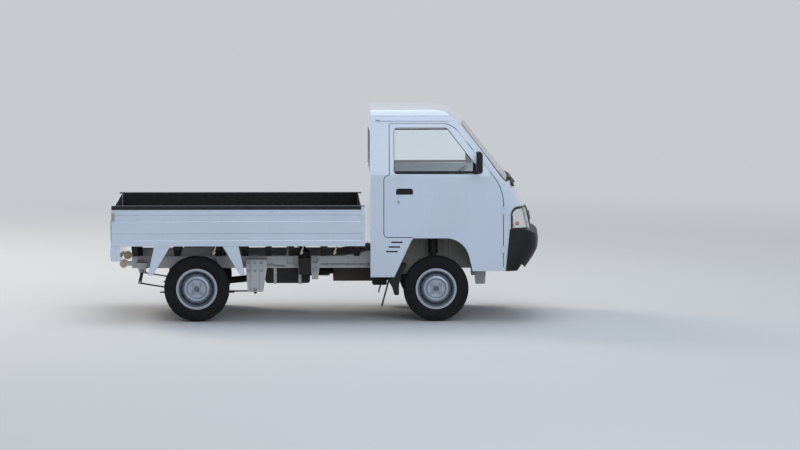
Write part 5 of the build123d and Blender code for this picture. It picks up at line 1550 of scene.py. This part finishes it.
@dataclass
class Underbody(Assembly):
    """What hangs below the deck: spring clamps, dampers, pipes, brackets, filler and tank straps."""

    leaf_y: float = -0.472
    clamp_half: float = 0.033
    clamp_bow: float = 0.0455
    clamp_rod: float = 0.0055
    shackle_pins: Profile = ((-507, 330), (-487, 428))
    damper_foot: Point = (78, -330, 262)
    damper_head: Point = (222, -330, 500)
    rail_y: float = -424.5
    hanger_y: float = -503.5
    step_bracket: Profile = ((-1320, 462), (-1246, 462), (-1250, 628), (-1316, 628))
    step_ribs: Row = (-1310, -1286, -1260)
    tank_bracket: Profile = ((-1104, 447), (-1028, 447), (-1040, 345), (-1092, 345))
    tank_ribs: Row = (-1084, -1066, -1048)
    hanger_ribs: Row = (-1636, -1558)
    eye: Profile = ((-1388, 452), (-1384, 428), (-1361, 408), (-1338, 428), (-1334, 452))
    rail_bolts: Profile = (
        (-1298, 600), (-1268, 600), (-1298, 490), (-1268, 490), (-1075, 425), (-1057, 425)
    )
    hanger_bolts: Profile = (
        (-1655, 430), (-1655, 500), (-1597, 430), (-1597, 500), (-1540, 430), (-1540, 500)
    )
    hose: Route = ((-1163, -462, 600), (-1168, -468, 630), (-1190, -440, 648), (-1215, -400, 652))
    filler: Profile = (
        (0, 0), (0, 0.034), (0.01, 0.034), (0.013, 0.03), (0.024, 0.03), (0.027, 0.026),
        (0.027, 0)
    )
    box_ribs: Row = (-545, -520, -495, -470, -445)
    clips: Row = (-1450, -960, -780, -600, -450)
    straps: Row = (-1420, -1200)

    def build(self) -> None:
        """Builds every piece."""
        self.clamps()
        self.dampers()
        self.brackets()
        self.bolts()
        self.fuel_filler()
        self.frame_box()
        self.pipes()
        self.tank_straps()

    def clamps(self) -> None:
        """Builds the bolts that hold the rear springs to the axle, and the pins of the shackles."""
        foot, _ = self.probe.touch("leaf_springs", ahead(REAR_AXLE, self.leaf_y / MM, 0), (0, 0, 1))
        axle = Vector((REAR_AXLE_X, 0, AXLE_Z))
        form = Form()
        for y in (self.leaf_y - self.clamp_half, self.leaf_y + self.clamp_half):
            across = Vector((0, y, 0))
            arc = [axle + across + spoke(math.pi * number / 12) * self.clamp_bow for number in range(13)]
            ends = [Vector((REAR_AXLE_X + way * self.clamp_bow, y, foot.z - 0.02)) for way in (1, -1)]
            form.tube([ends[0], *arc, ends[1]], self.clamp_rod, 8)
            for end in reversed(ends):
                form.bolt((end.x, y, foot.z - 0.008), (0, 0, -1), 0.01, 0.009)
        middle = Vector((REAR_AXLE_X, self.leaf_y, foot.z))
        form.block_at(middle, (-0.065, -0.045, -0.008), (0.065, 0.045, 0))
        self.pair(form, "spring_clamp", "chassis_black", "black_paint")
        pins = Form()
        for x, z in self.shackle_pins:
            for way in (-1, 1):
                end = ahead(REAR_AXLE + x, self.leaf_y / MM + 31 * way, z)
                pins.bolt(end, (0, way, 0), 0.01, 0.009)
        self.pair(pins, "shackle_bolts", "zinc_bolt", "black_paint")

    def dampers(self) -> None:
        """Builds the rear dampers."""
        foot, head = (Vector(ahead(REAR_AXLE + x, y, z)) for x, y, z in (self.damper_foot, self.damper_head))
        span = (head - foot).length
        profile = [
            (0, 0), (0, 0.013), (0.02, 0.014), (0.022, 0.021), (span * 0.52, 0.021),
            (span * 0.52, 0.0085), (span * 0.6, 0.0085), (span * 0.6, 0.027), (span - 0.022, 0.027),
            (span - 0.02, 0.012), (span, 0.012), (span, 0),
        ]
        form = Form().turned(profile, foot, head - foot, 20)
        for end in (foot, head):
            form.tube([end - Vector((0, 0.02, 0)), end + Vector((0, 0.024, 0))], 0.0175, 16)
        form.block((foot.x - 0.03, -0.352, 0.262), (foot.x + 0.014, -0.308, 0.284))
        self.pair(form, "rear_damper", "chassis_black", "black_paint")

    def brackets(self) -> None:
        """Builds the pale brackets on the frame, with their ribs, and the eye for a rope."""
        y = self.rail_y
        form = Form()
        plates = (
            (self.step_bracket, self.step_ribs, 470, 622),
            (self.tank_bracket, self.tank_ribs, 352, 446),
        )
        for outline, ribs, low, high in plates:
            form.prism([ahead(x, y, z) for x, z in outline], (0, 0.0045, 0))
            for x in ribs:
                form.block(ahead(x - 3, y - 7, low), ahead(x + 3, y + 1, high), edge=0.001)
        for x in self.hanger_ribs:
            form.block(ahead(x - 4, self.hanger_y - 5, 262), ahead(x + 4, self.hanger_y, 520), edge=0.0015)
        form.tube(curve([ahead(x, -410, z) for x, z in self.eye], 5), 0.0045, 8)
        self.pair(form, "frame_brackets", "rail_beige", "body_paint")

    def bolts(self) -> None:
        """Builds the bolts of the brackets and of the spring hangers."""
        form = Form()
        for x, z in self.rail_bolts:
            form.bolt(ahead(x, self.rail_y, z), (0, -1, 0), 0.008, 0.009)
        for x, z in self.hanger_bolts:
            form.bolt(ahead(x, self.hanger_y, z), (0, -1, 0), 0.009, 0.01)
        form.bolt(ahead(REAR_AXLE + 514, self.hanger_y - 0.5, 266), (0, -1, 0), 0.014, 0.013)
        self.pair(form, "frame_bolts", "zinc_bolt", "black_paint")

    def fuel_filler(self) -> None:
        """Builds the fuel filler's neck, hose and ribbed cap."""
        form = Form().block(ahead(-1214, -500, 470), ahead(-1112, -424.8, 612), edge=0.014)
        form.tube(curve([ahead(*point) for point in self.hose], 5), 0.021, 14)
        form.turned(self.filler, ahead(-1163, -499, 540), (0, -1, 0), 28)
        for angle in turns(10):
            spot = Vector(ahead(-1163, -513, 540)) + spoke(angle) * 0.0315
            form.tube([spot, spot - Vector((0, 0.0105, 0))], 0.003, 6)
        self.piece(form, "fuel_filler", "chassis_black", "black_paint")

    def frame_box(self) -> None:
        """Builds the ribbed box below the cab's rear corner."""
        form = Form().block(ahead(-560, -548, 305), ahead(-430, -428, 392), edge=0.01)
        for x in self.box_ribs:
            form.block(ahead(x - 3, -551, 312), ahead(x + 3, -547, 384), edge=0.001)
        self.piece(form, "frame_box", "chassis_black", "black_paint")

    def pipes(self) -> None:
        """Builds the brake and fuel pipes along the right rail, with their clips."""
        form = Form()
        rear = ((-1700, 470, 0), (-1480, 470, 0), (-1400, 462, 0), (-1330, 458, -8))
        front = ((-1016, 474, 0), (-800, 474, 0), (-520, 470, 0), (-395, 470, 0))
        for rise in (0, 11):
            for route in (rear, front):
                path = [ahead(x, -424 - rise * 0.2 + out, z + rise) for x, z, out in route]
                form.tube(curve(path, 5), 0.0024, 6)
        for x in self.clips:
            form.block(ahead(x - 7, -430, 464), ahead(x + 7, -419.5, 490), edge=0.001)
        self.piece(form, "frame_pipes", "zinc_bolt", "black_paint")

    def tank_straps(self) -> None:
        """Builds the bands round the fuel tank."""
        form = Form()
        for x in self.straps:
            form.block(ahead(x - 14, -424, 306.5), ahead(x + 14, -64, 310.5), edge=0.001)
            form.block(ahead(x - 14, -422.5, 306.5), ahead(x + 14, -418.5, 470), edge=0.001)
        self.piece(form, "tank_straps", "zinc_bolt", "black_paint")


@dataclass
class WheelArch(Assembly):
    """The pressed ribs of the front wheelhouses."""

    places: Row = (-170, -120, -70, 30, 80, 130, 180)
    foot: float = 0.472
    tops: Pair = (0.722, 0.69)
    half: float = 0.009

    def build(self) -> None:
        """Builds the ribs on the wheelhouses' walls."""
        form = Form()
        for x in self.places:
            wall, _ = self.probe.touch("wheelhouses", ahead(x, -1200, 560), (0, 1, 0))
            top = self.tops[0] if abs(x) < 150 else self.tops[1]
            low = (wall.x - self.half, wall.y - 0.006, self.foot)
            form.block(low, (wall.x + self.half, wall.y + 0.001, top), edge=0.003)
        self.pair(form, "wheelhouse_ribs", "wheelhouse_sheet", "black_paint")


@dataclass
class DoorTrim(Assembly):
    """The inner side of a door: its card, armrest, window crank, handle and speaker."""

    rear: float = -415
    front: float = 250
    low: float = 805
    high: float = 1262
    skin_y: float = -697
    crank: Point = (60, -697, 1110)
    crank_knob: Point = (-22, -672, 1070)
    boss: Profile = ((0, 0.026), (0.008, 0.024), (0.012, 0.012), (0.012, 0))
    knob: Profile = ((0, 0.007), (0.004, 0.011), (0.02, 0.011), (0.024, 0.008), (0.024, 0))
    pull: Route = ((86, -689, 1164), (120, -684, 1165), (160, -686, 1166))
    speaker: Point = (140, -696, 915)
    speaker_rings: int = 7
    speaker_pitch: float = 0.008

    def build(self) -> None:
        """Builds both doors' trim."""
        self.card()
        boss = Form().turned(self.boss, ahead(*self.crank), (0, 1, 0), 28)
        arm = [ahead(60, -688, 1110), ahead(24, -676, 1092), ahead(*self.crank_knob)]
        boss.sweep(arm, strip(0.014, 0.008), up=(0, 1, 0))
        boss.turned(self.knob, ahead(*self.crank_knob), (0, 1, 0), 20)
        self.pair(boss, "window_crank", "cabin_dark", "cabin_plastic", "door_{}")
        form = Form().block(ahead(70, self.skin_y, 1140), ahead(172, -692, 1190), edge=0.004)
        form.sweep([ahead(*point) for point in self.pull], strip(0.018, 0.006), up=(0, 1, 0))
        self.pair(form, "door_pull", "gloss_black", "cabin_plastic", "door_{}")
        form = Form()
        for number in range(1, self.speaker_rings + 1):
            radius = self.speaker_pitch * number
            path = [Vector(ahead(*self.speaker)) + spoke(angle) * radius for angle in turns(32)]
            form.tube(path, 0.0022, 6, closed=True)
        self.pair(form, "door_speaker", "cabin_dark", "cabin_plastic", "door_{}")

    def card(self) -> None:
        """Builds the card, its armrest, the strip below the window and the map pocket."""
        rear, front, low, high = self.rear, self.front, self.low, self.high
        corners = [
            (rear + 20, low), (front - 95, low), (front - 20, low + 120), (front, high - 30),
            (front - 20, high), (rear + 20, high), (rear, high - 20), (rear, low + 20),
        ]
        form = Form().prism([ahead(x, -704, z) for x, z in corners], (0, 0.008, 0), edge=0.004)
        self.pair(form, "door_card", "cabin_grey", "cabin_plastic", "door_{}")
        form = Form()
        # Rear and front ends counted from the card's, the inner face, the height from and to, and the edge
        for from_rear, from_front, outer, inner, foot, top, edge in (
            (40, 130, self.skin_y, -655, 1010, 1046, 0.008),
            (30, 30, self.skin_y, -690, 1200, 1212, 0.002),
            (60, 140, self.skin_y, -668, 835, 838, 0.001),
            (60, 140, -671, -668, 835, 905, 0.001),
        ):
            form.block(ahead(rear + from_rear, outer, foot), ahead(front - from_front, inner, top), edge)
        self.pair(form, "door_armrest", "cabin_dark", "cabin_plastic", "door_{}")


@dataclass
class Cabin(Assembly):
    """What sits on the dashboard and the steering wheel, and the belts."""

    driver_y: float = -370
    hood_x: float = 404
    hood: Profile = ((-150, 1190), (-158, 1238), (-140, 1262), (140, 1262), (158, 1238), (150, 1190))
    hood_length: float = 0.15
    dials: Route = ((-62, 1228, 0.038), (32, 1228, 0.03), (98, 1224, 0.022))
    dial_marks: int = 13
    dial_span: float = 260
    needle_angle: float = -118
    vents: Row = (-620, -120, 30, 620)
    vent_z: float = 1165
    vent_slats: int = 4
    radio: Point = (-45, 1085, 0.092)
    small_knobs: Row = (-115, 25)
    small_knob: Profile = ((0, 0.013), (0.01, 0.011), (0.012, 0.008), (0.012, 0))
    heater_knobs: Row = (-108, -45, 18)
    heater_z: float = 1035
    heater_knob: Profile = ((-0.002, 0.016), (0.012, 0.014), (0.014, 0.01), (0.014, 0))
    glove_box: Profile = (
        (150, 1048), (560, 1048), (575, 1062), (575, 1125),
        (560, 1138), (150, 1138), (138, 1125), (138, 1062),
    )
    wheel_middle: Point = (150, -370, 1225)
    wheel_tilt: float = 45
    horn: Profile = (
        (-0.004, 0.055), (0.006, 0.055), (0.011, 0.049), (0.012, 0.036), (0.0105, 0.034), (0.0105, 0),
    )
    belt: Route = (
        (-492, -650, 1545), (-492, -651, 1400), (-494, -648, 1200), (-496, -645, 1000), (-496, -645, 840),
    )

    def build(self) -> None:
        """Builds every piece of the cabin."""
        self.gauges()
        self.controls()
        self.glove_box_lid()
        self.horn_pad()
        self.belts()

    def gauges(self) -> None:
        """Builds the hooded gauges in front of the driver."""
        x, y = self.hood_x, self.driver_y
        hood = Form().prism(
            [ahead(x, y + side, z) for side, z in self.hood], (self.hood_length, 0, 0), edge=0.02
        )
        self.piece(hood, "gauge_hood", "cabin_dark", "cabin_plastic")
        dials = Form()
        marks = Form()
        for offset, z, radius in self.dials:
            spot = Vector(ahead(x, y + offset, z))
            rim = [(0, 0), (0, radius - 0.003), (0.003, radius - 0.0025), (0.003, radius), (-0.001, radius)]
            dials.turned(rim, spot, (-1, 0, 0), 36)
            face = spot - Vector((0.0008, 0, 0))
            for number in range(self.dial_marks):
                out = self.hand(self.dial_span * (number / (self.dial_marks - 1) - 0.5))
                ends = [face + out * (radius - inset) for inset in (0.01, 0.005)]
                marks.sweep(ends, strip(0.0014, 0.0006), up=(-1, 0, 0))
            needle = spot - Vector((0.0016, 0, 0))
            tip = needle + self.hand(self.needle_angle) * (radius - 0.008)
            marks.sweep([needle, tip], strip(0.002, 0.0008), up=(-1, 0, 0))
        self.piece(dials, "gauges", "gloss_black", "cabin_plastic")
        self.piece(marks, "gauge_marks", "dial_white", "cabin_plastic")

    @staticmethod
    def hand(degrees: float) -> Vector:
        """The way that a gauge's hand points at an angle from the top."""
        return Vector((0, math.sin(math.radians(degrees)), math.cos(math.radians(degrees))))

    def dash(self, y: float, z: float) -> Vector:
        """A point on the dashboard's skin."""
        return self.probe.touch("dashboard", ahead(100, y, z), (1, 0, 0))[0]

    def controls(self) -> None:
        """Builds the vents, the radio's slot and the knobs."""
        vents = Form()
        slats = Form()
        for y in self.vents:
            middle = self.dash(y, self.vent_z)
            vents.block_at(middle, (-0.006, -0.046, -0.026), (0.03, 0.046, 0.02), edge=0.004)
            for number in range(self.vent_slats):
                low = 0.0105 * number - 0.019
                slats.block_at(middle, (-0.0085, -0.04, low), (-0.004, 0.04, low + 0.0035), edge=0.0008)
        y, z, half = self.radio
        vents.block_at(self.dash(y, z), (-0.006, -half, -0.026), (0.02, half, 0.026), edge=0.004)
        self.piece(vents, "dash_vents", "gloss_black", "cabin_plastic")
        for y in self.small_knobs:
            slats.turned(self.small_knob, self.dash(y, z) + Vector((-0.005, 0, 0)), (-1, 0, 0), 24)
        for y in self.heater_knobs:
            knob = self.dash(y, self.heater_z)
            slats.turned(self.heater_knob, knob, (-1, 0, 0), 24)
            slats.block_at(knob, (-0.019, -0.002, -0.012), (-0.01, 0.002, 0.012), edge=0.0008)
        self.piece(slats, "dash_controls", "cabin_dark", "cabin_plastic")

    def glove_box_lid(self) -> None:
        """Builds the glove box lid and its handle."""
        face = [self.dash(y, z) + Vector((0.001, 0, 0)) for y, z in self.glove_box]
        lid = Form().prism(face, (-0.007, 0, 0), edge=0.004)
        lid.block_at(self.dash(356, 1118), (-0.014, -0.028, -0.009), (-0.005, 0.028, 0.009), edge=0.003)
        self.piece(lid, "glove_box_lid", "cabin_grey", "cabin_plastic")

    def horn_pad(self) -> None:
        """Builds the pad on the steering wheel's boss."""
        tilt = math.radians(self.wheel_tilt)
        axis = Vector((-math.sin(tilt), 0, math.cos(tilt)))
        above = Vector(ahead(*self.wheel_middle)) + axis * 0.25
        spot, _ = self.probe.touch("steering_wheel", above, -axis)
        form = Form().turned(self.horn, spot, axis, 40)
        self.piece(form, "horn_pad", "gloss_black", "cabin_plastic", "steering_wheel")

    def belts(self) -> None:
        """Builds the seat belts along the door pillars."""
        form = Form().sweep(
            curve([ahead(*point) for point in self.belt]), strip(0.046, 0.0016), up=(0, 1, 0)
        )
        self.pair(form, "seat_belt", "belt_webbing", "seat_fabric")
        form = Form().block(ahead(-520, -672, 1530), ahead(-464, -646, 1562), edge=0.004)
        form.block(ahead(-526, -690, 790), ahead(-466, -632, 850), edge=0.008)
        self.pair(form, "belt_anchors", "cabin_dark", "cabin_plastic")


@dataclass(frozen=True)
class Pad:
    """One pad of the right seat: its corners, how much thinner its top is, and where its piping starts."""

    name: str
    low: Point
    high: Point
    taper: float
    tall: bool
    piping: float

    def along(self, place: Vector) -> float:
        """How far a place is up a backrest, or ahead on a cushion."""
        return place.z if self.tall else place.x

    def facing(self, way: Vector) -> float:
        """How much a direction looks at who sits on the pad, from -1 to 1."""
        return way.x if self.tall else way.z


@dataclass
class Seats(Assembly):
    """The two seats' cushions and backrests, swollen as cloth inside the space of their CAD solids."""

    pads: tuple[Pad, ...] = (
        Pad("cushion", ahead(-312, -602, 803), ahead(152, -138, 944), 0.0, False, FRONT_AXLE_X - 0.27),
        Pad("backrest", ahead(-483, -592, 822), ahead(-352, -148, 1282), 0.052, True, 0.86),
    )
    rounding: float = 0.024
    voxel: float = 0.008
    smoothing: int = 14
    reach: float = 0.013
    pressure: float = 4.0
    frames: int = 20
    plinth_z: float = 0.802
    middle: float = -0.37
    panel_half: float = 0.145
    panel_length: float = 0.345
    panel_starts: Pair = (FRONT_AXLE_X - 0.245, 0.905)
    seam: Pair = (0.009, 0.0055)
    channel: Pair = (0.0055, 0.0045)
    channel_pitch: float = 0.052
    dish: Pair = (0.006, 0.12)
    piping_length: float = 0.37
    piping_wire: float = 0.0032

    def build(self) -> None:
        """Builds the right seat's pads, then the left one's as their twins."""
        blanks = [self.blank(pad) for pad in self.pads]
        self.swell(blanks)
        for pad, blank in zip(self.pads, blanks):
            mesh = self.refined(blank)
            self.sew(pad, mesh)
            bpy.data.objects.remove(blank)
            self.cover(pad, mesh)

    def blank(self, pad: Pad) -> Object:
        """A rounded block, a little smaller than the pad.

        Args:
            pad: the pad.

        Returns:
            An object with a fine even mesh.
        """
        form = Form().block(pad.low, pad.high, edge=self.rounding)
        for point in form.points:
            share = (point.x - pad.low[0]) / (pad.high[0] - pad.low[0])
            point.x -= share * pad.taper * (point.z - pad.low[2]) / (pad.high[2] - pad.low[2])
        mesh = bpy.data.meshes.new(pad.name)
        mesh.from_pydata([tuple(point) for point in form.points], [], form.faces)
        made = placed(pad.name, mesh)
        remesh = made.modifiers.new("remesh", "REMESH")
        remesh.mode = "VOXEL"
        remesh.voxel_size = self.voxel
        smooth = made.modifiers.new("smooth", "SMOOTH")
        smooth.iterations = self.smoothing
        return self.baked(made)

    @staticmethod
    def baked(made: Object) -> Object:
        """Gives an object its modifiers' result as its own mesh.

        Args:
            made: the object.

        Returns:
            The same object.
        """
        shape = made.evaluated_get(bpy.context.evaluated_depsgraph_get())
        made.data = bpy.data.meshes.new_from_object(shape)
        made.modifiers.clear()
        return made

    def swell(self, blanks: Sequence[Object]) -> None:
        """Blows the pads up as cloth, and caps how far each point moves.

        Args:
            blanks: the pads' blocks.
        """
        starts = [[vertex.co.copy() for vertex in blank.data.vertices] for blank in blanks]
        for blank in blanks:
            cloth = blank.modifiers.new("cloth", "CLOTH")
            cloth.settings.quality = 4
            cloth.settings.use_pressure = True
            cloth.settings.uniform_pressure_force = self.pressure
            cloth.settings.effector_weights.gravity = 0.0
            cloth.collision_settings.use_collision = False
            cloth.point_cache.frame_end = self.frames
        for number in range(1, self.frames + 1):
            bpy.context.scene.frame_set(number)
        for blank, start in zip(blanks, starts):
            self.baked(blank)
            for vertex, place in zip(blank.data.vertices, start):
                move = vertex.co - place
                if move.length > self.reach:
                    vertex.co = place + move.normalized() * self.reach
        bpy.context.scene.frame_set(1)

    def refined(self, blank: Object) -> Mesh:
        """The pad's mesh after one subdivision, and flat where it rests on the plinth.

        Args:
            blank: the pad's block.

        Returns:
            Its mesh.
        """
        soft = blank.modifiers.new("round", "SUBSURF")
        soft.levels = 1
        mesh = self.baked(blank).data
        for vertex in mesh.vertices:
            vertex.co.z = max(vertex.co.z, self.plinth_z)
        return mesh

    @staticmethod
    def press(away: float, seam: Pair) -> float:
        """How deep a seam of some depth and width presses the cloth at a distance from it."""
        return seam[0] * math.exp(-((away / seam[1]) ** 2))

    def sew(self, pad: Pad, mesh: Mesh) -> None:
        """Presses the sewn seams and channels into the face that is sat on or leant against.

        Args:
            pad: the pad.
            mesh: its mesh.
        """
        normals = [vertex.normal.copy() for vertex in mesh.vertices]
        for vertex, way in zip(mesh.vertices, normals):
            facing = pad.facing(way)
            if facing < 0.3:
                continue
            across = abs(vertex.co.y - self.middle)
            inner = pad.along(vertex.co) - self.panel_starts[pad.tall]
            groove = self.press(across - self.panel_half, self.seam)
            if across < self.panel_half and 0 < inner < self.panel_length:
                # Nearness to the middle between two channels, carried to a distance from the next one
                nearest = abs((inner / self.channel_pitch) % 1 - 0.5) * 2 - 1
                groove = max(groove, self.press(nearest * self.channel_pitch / 2, self.channel))
            if across < self.panel_half + 0.004:
                groove = max(
                    groove, self.press(inner, self.seam), self.press(inner - self.panel_length, self.seam)
                )
            depth, half = self.dish
            dish = depth * max(0.0, 1 - (across / half) ** 2)
            vertex.co = vertex.co - way * (groove + dish) * min(1.0, (facing - 0.3) / 0.4)

    def piping(self, pad: Pad, skin: BVHTree) -> Form:
        """The piping along both sides of the middle panel.

        Args:
            pad: the pad.
            skin: its skin.

        Returns:
            Its form.
        """
        form = Form()
        look = Vector((-1, 0, 0)) if pad.tall else Vector((0, 0, -1))
        for y in (self.middle - self.panel_half, self.middle + self.panel_half):
            line = []
            for number in range(31):
                along = pad.piping + self.piping_length * number / 30
                start = Vector((1.2, y, along)) if pad.tall else Vector((along, y, 1.2))
                place, *_ = skin.ray_cast(start, look)
                if place is not None:
                    line.append(place)
            form.tube(line, self.piping_wire, 8)
        return form

    def cover(self, pad: Pad, mesh: Mesh) -> None:
        """Turns the mesh into the two seats' padded pieces, with their piping.

        Args:
            pad: the pad.
            mesh: its mesh.
        """
        piping = self.piping(pad, skin_of(mesh))
        mesh.materials.clear()
        mesh.materials.append(self.shop.materials["seat_cloth"])
        mesh.materials.append(self.shop.materials["seat_side_cloth"])
        for face in mesh.polygons:
            face.use_smooth = True
            inside = abs(face.center.y - self.middle) < self.panel_half and pad.facing(face.normal) > 0.2
            face.material_index = 0 if inside else 1
        for side in Side:
            own = mesh
            if side is Side.LEFT:
                own = mesh.copy()
                for vertex in own.vertices:
                    vertex.co.y = -vertex.co.y
                own.flip_normals()
            made = placed(f"seat_{pad.name}_{side.word}", own)
            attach(made, "chassis")
            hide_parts("seats")
            log.info("%s: %d faces", made.name, len(own.polygons))
        self.pair(piping, f"seat_piping_{pad.name}", "cabin_dark", "seat_fabric")


@dataclass(frozen=True)
class Lamp:
    """A large soft lamp that looks at the truck, with its place, diameter, power in watts and colour."""

    name: str
    place: Point
    size: float
    power: float
    colour: Colour

    def build(self) -> None:
        """Hangs the lamp."""
        data = bpy.data.lights.new(self.name, "AREA")
        data.shape = "DISK"
        data.size = self.size
        data.energy = self.power
        data.color = self.colour
        lamp = placed(self.name, data)
        lamp.location = self.place
        lamp.rotation_euler = (Vector((0, 0, 0.8)) - Vector(self.place)).to_track_quat("-Z", "Y").to_euler()


@dataclass
class Stage:
    """The plain floor, the sky and the soft lights."""

    floor_colour: Colour = (0.6, 0.605, 0.61)
    backdrop: Colour = (0.57, 0.59, 0.62)
    reach: float = 250.0
    fade: Pair = (4.0, 15.0)
    sky_low: Colour = (0.34, 0.35, 0.37)
    sky_high: Colour = (0.78, 0.87, 1.0)
    sky_light: float = 0.52
    lamps: tuple[Lamp, ...] = (
        Lamp("sun_side", (-8.5, 8.0, 8.5), 5.0, 900.0, (1.0, 0.9, 0.76)),
        Lamp("overhead", (1.0, 1.5, 10.0), 9.0, 450.0, (0.9, 0.95, 1.0)),
        Lamp("camera_side", (4.0, -13.0, 7.0), 11.0, 600.0, (0.8, 0.9, 1.0)),
    )

    def build(self) -> None:
        """Builds the floor, the world and the lamps."""
        self.floor()
        self.world()
        for lamp in self.lamps:
            lamp.build()

    @staticmethod
    def seen(graph: Graph) -> Socket:
        """The share of rays that meet the backdrop: what is seen directly, mirrored or through glass.

        Args:
            graph: the writer of the nodes.

        Returns:
            The share, 0 or 1.
        """
        path = graph.add("LightPath").outputs
        mirrored = graph.math("MAXIMUM", path["Is Glossy Ray"], path["Is Transmission Ray"])
        return graph.math("MAXIMUM", path["Is Camera Ray"], mirrored)

    def floor(self) -> None:
        """A wide pale floor, at the height that the tyres stand on, that fades into the backdrop."""
        mesh = bpy.data.meshes.new("floor")
        corners = [(self.reach * math.cos(angle), self.reach * math.sin(angle), 0) for angle in turns(64)]
        mesh.from_pydata(corners, [], [tuple(range(64))])
        floor = placed("floor", mesh)
        made = bpy.data.materials.new("studio_floor")
        made.use_nodes = True
        made.node_tree.nodes.clear()
        graph = Graph(made.node_tree)
        place = graph.place()
        darker = tuple(0.965 * part for part in self.floor_colour)
        colour = graph.mix(graph.noise(place, 0.8, 4.0), self.floor_colour, darker)
        shader = graph.add("BsdfPrincipled", {"Base Color": colour, "Roughness": 0.75})
        away = graph.add("VectorMath", {0: place}, operation="LENGTH").outputs["Value"]
        share = graph.times(graph.ramp(away, *self.fade), self.seen(graph))
        glow = graph.add("Emission", {"Color": self.backdrop, "Strength": 1.0})
        both = graph.add("MixShader", {0: share, 1: shader.outputs[0], 2: glow.outputs[0]})
        graph.add("OutputMaterial", {"Surface": both.outputs[0]})
        mesh.materials.append(made)

    def world(self) -> None:
        """An even sky; what is seen of it is a pale backdrop."""
        world = bpy.data.worlds.new("studio")
        bpy.context.scene.world = world
        world.use_nodes = True
        world.node_tree.nodes.clear()
        graph = Graph(world.node_tree)
        height = graph.add("SeparateXYZ", {0: graph.add("TexCoord").outputs["Generated"]}).outputs["Z"]
        sky = graph.mix(graph.ramp(height, -0.15, 0.55), self.sky_low, self.sky_high)
        lit = graph.add("Background", {"Color": sky, "Strength": self.sky_light})
        seen = graph.add("Background", {"Color": self.backdrop, "Strength": 1.0})
        both = graph.add("MixShader", {0: self.seen(graph), 1: lit.outputs[0], 2: seen.outputs[0]})
        graph.add("OutputWorld", {"Surface": both.outputs[0]})


@dataclass
class Viewpoint:
    """The camera, where the picture was taken from; its angles are in degrees."""

    place: Point = (-0.336, -33.147, 3.654)
    yaw: float = 1.731
    pitch: float = 4.933
    roll: float = 0.054
    focal_pixels: float = 3698.6
    image_width: float = 800.0
    sensor: float = 36.0
    farthest: float = 400.0

    def build(self) -> None:
        """Creates the camera and makes it the scene's own."""
        data = bpy.data.cameras.new("camera")
        data.sensor_width = self.sensor
        data.lens = self.sensor * self.focal_pixels / self.image_width
        data.clip_end = self.farthest
        camera = placed("camera", data)
        yaw, pitch = math.radians(self.yaw), math.radians(self.pitch)
        way = Vector((math.sin(yaw) * math.cos(pitch), math.cos(yaw) * math.cos(pitch), -math.sin(pitch)))
        turn = way.to_track_quat("-Z", "Y").to_matrix().to_4x4()
        roll = Matrix.Rotation(math.radians(self.roll), 4, "Z")
        camera.matrix_world = Matrix.Translation(self.place) @ turn @ roll
        bpy.context.scene.camera = camera


def main() -> None:
    """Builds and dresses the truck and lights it."""
    logging.basicConfig(level=logging.INFO, format="%(name)s: %(message)s")
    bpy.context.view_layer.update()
    bpy.context.scene.view_settings.view_transform = "Standard"
    Viewpoint().build()
    Stage().build()
    shop = Shop()
    shop.dress_nodes()
    probe = Probe()
    for end in End:
        for side in Side:
            Tyre(shop, probe, end, side).build()
            RoadWheel(shop, probe, end, side).build()
    for assembly in (Glazing, Lamps, CabTrim, LoadBed, Underbody, WheelArch, DoorTrim, Cabin, Seats):
        assembly(shop, probe).build()


if __name__ == "__main__":
    main()
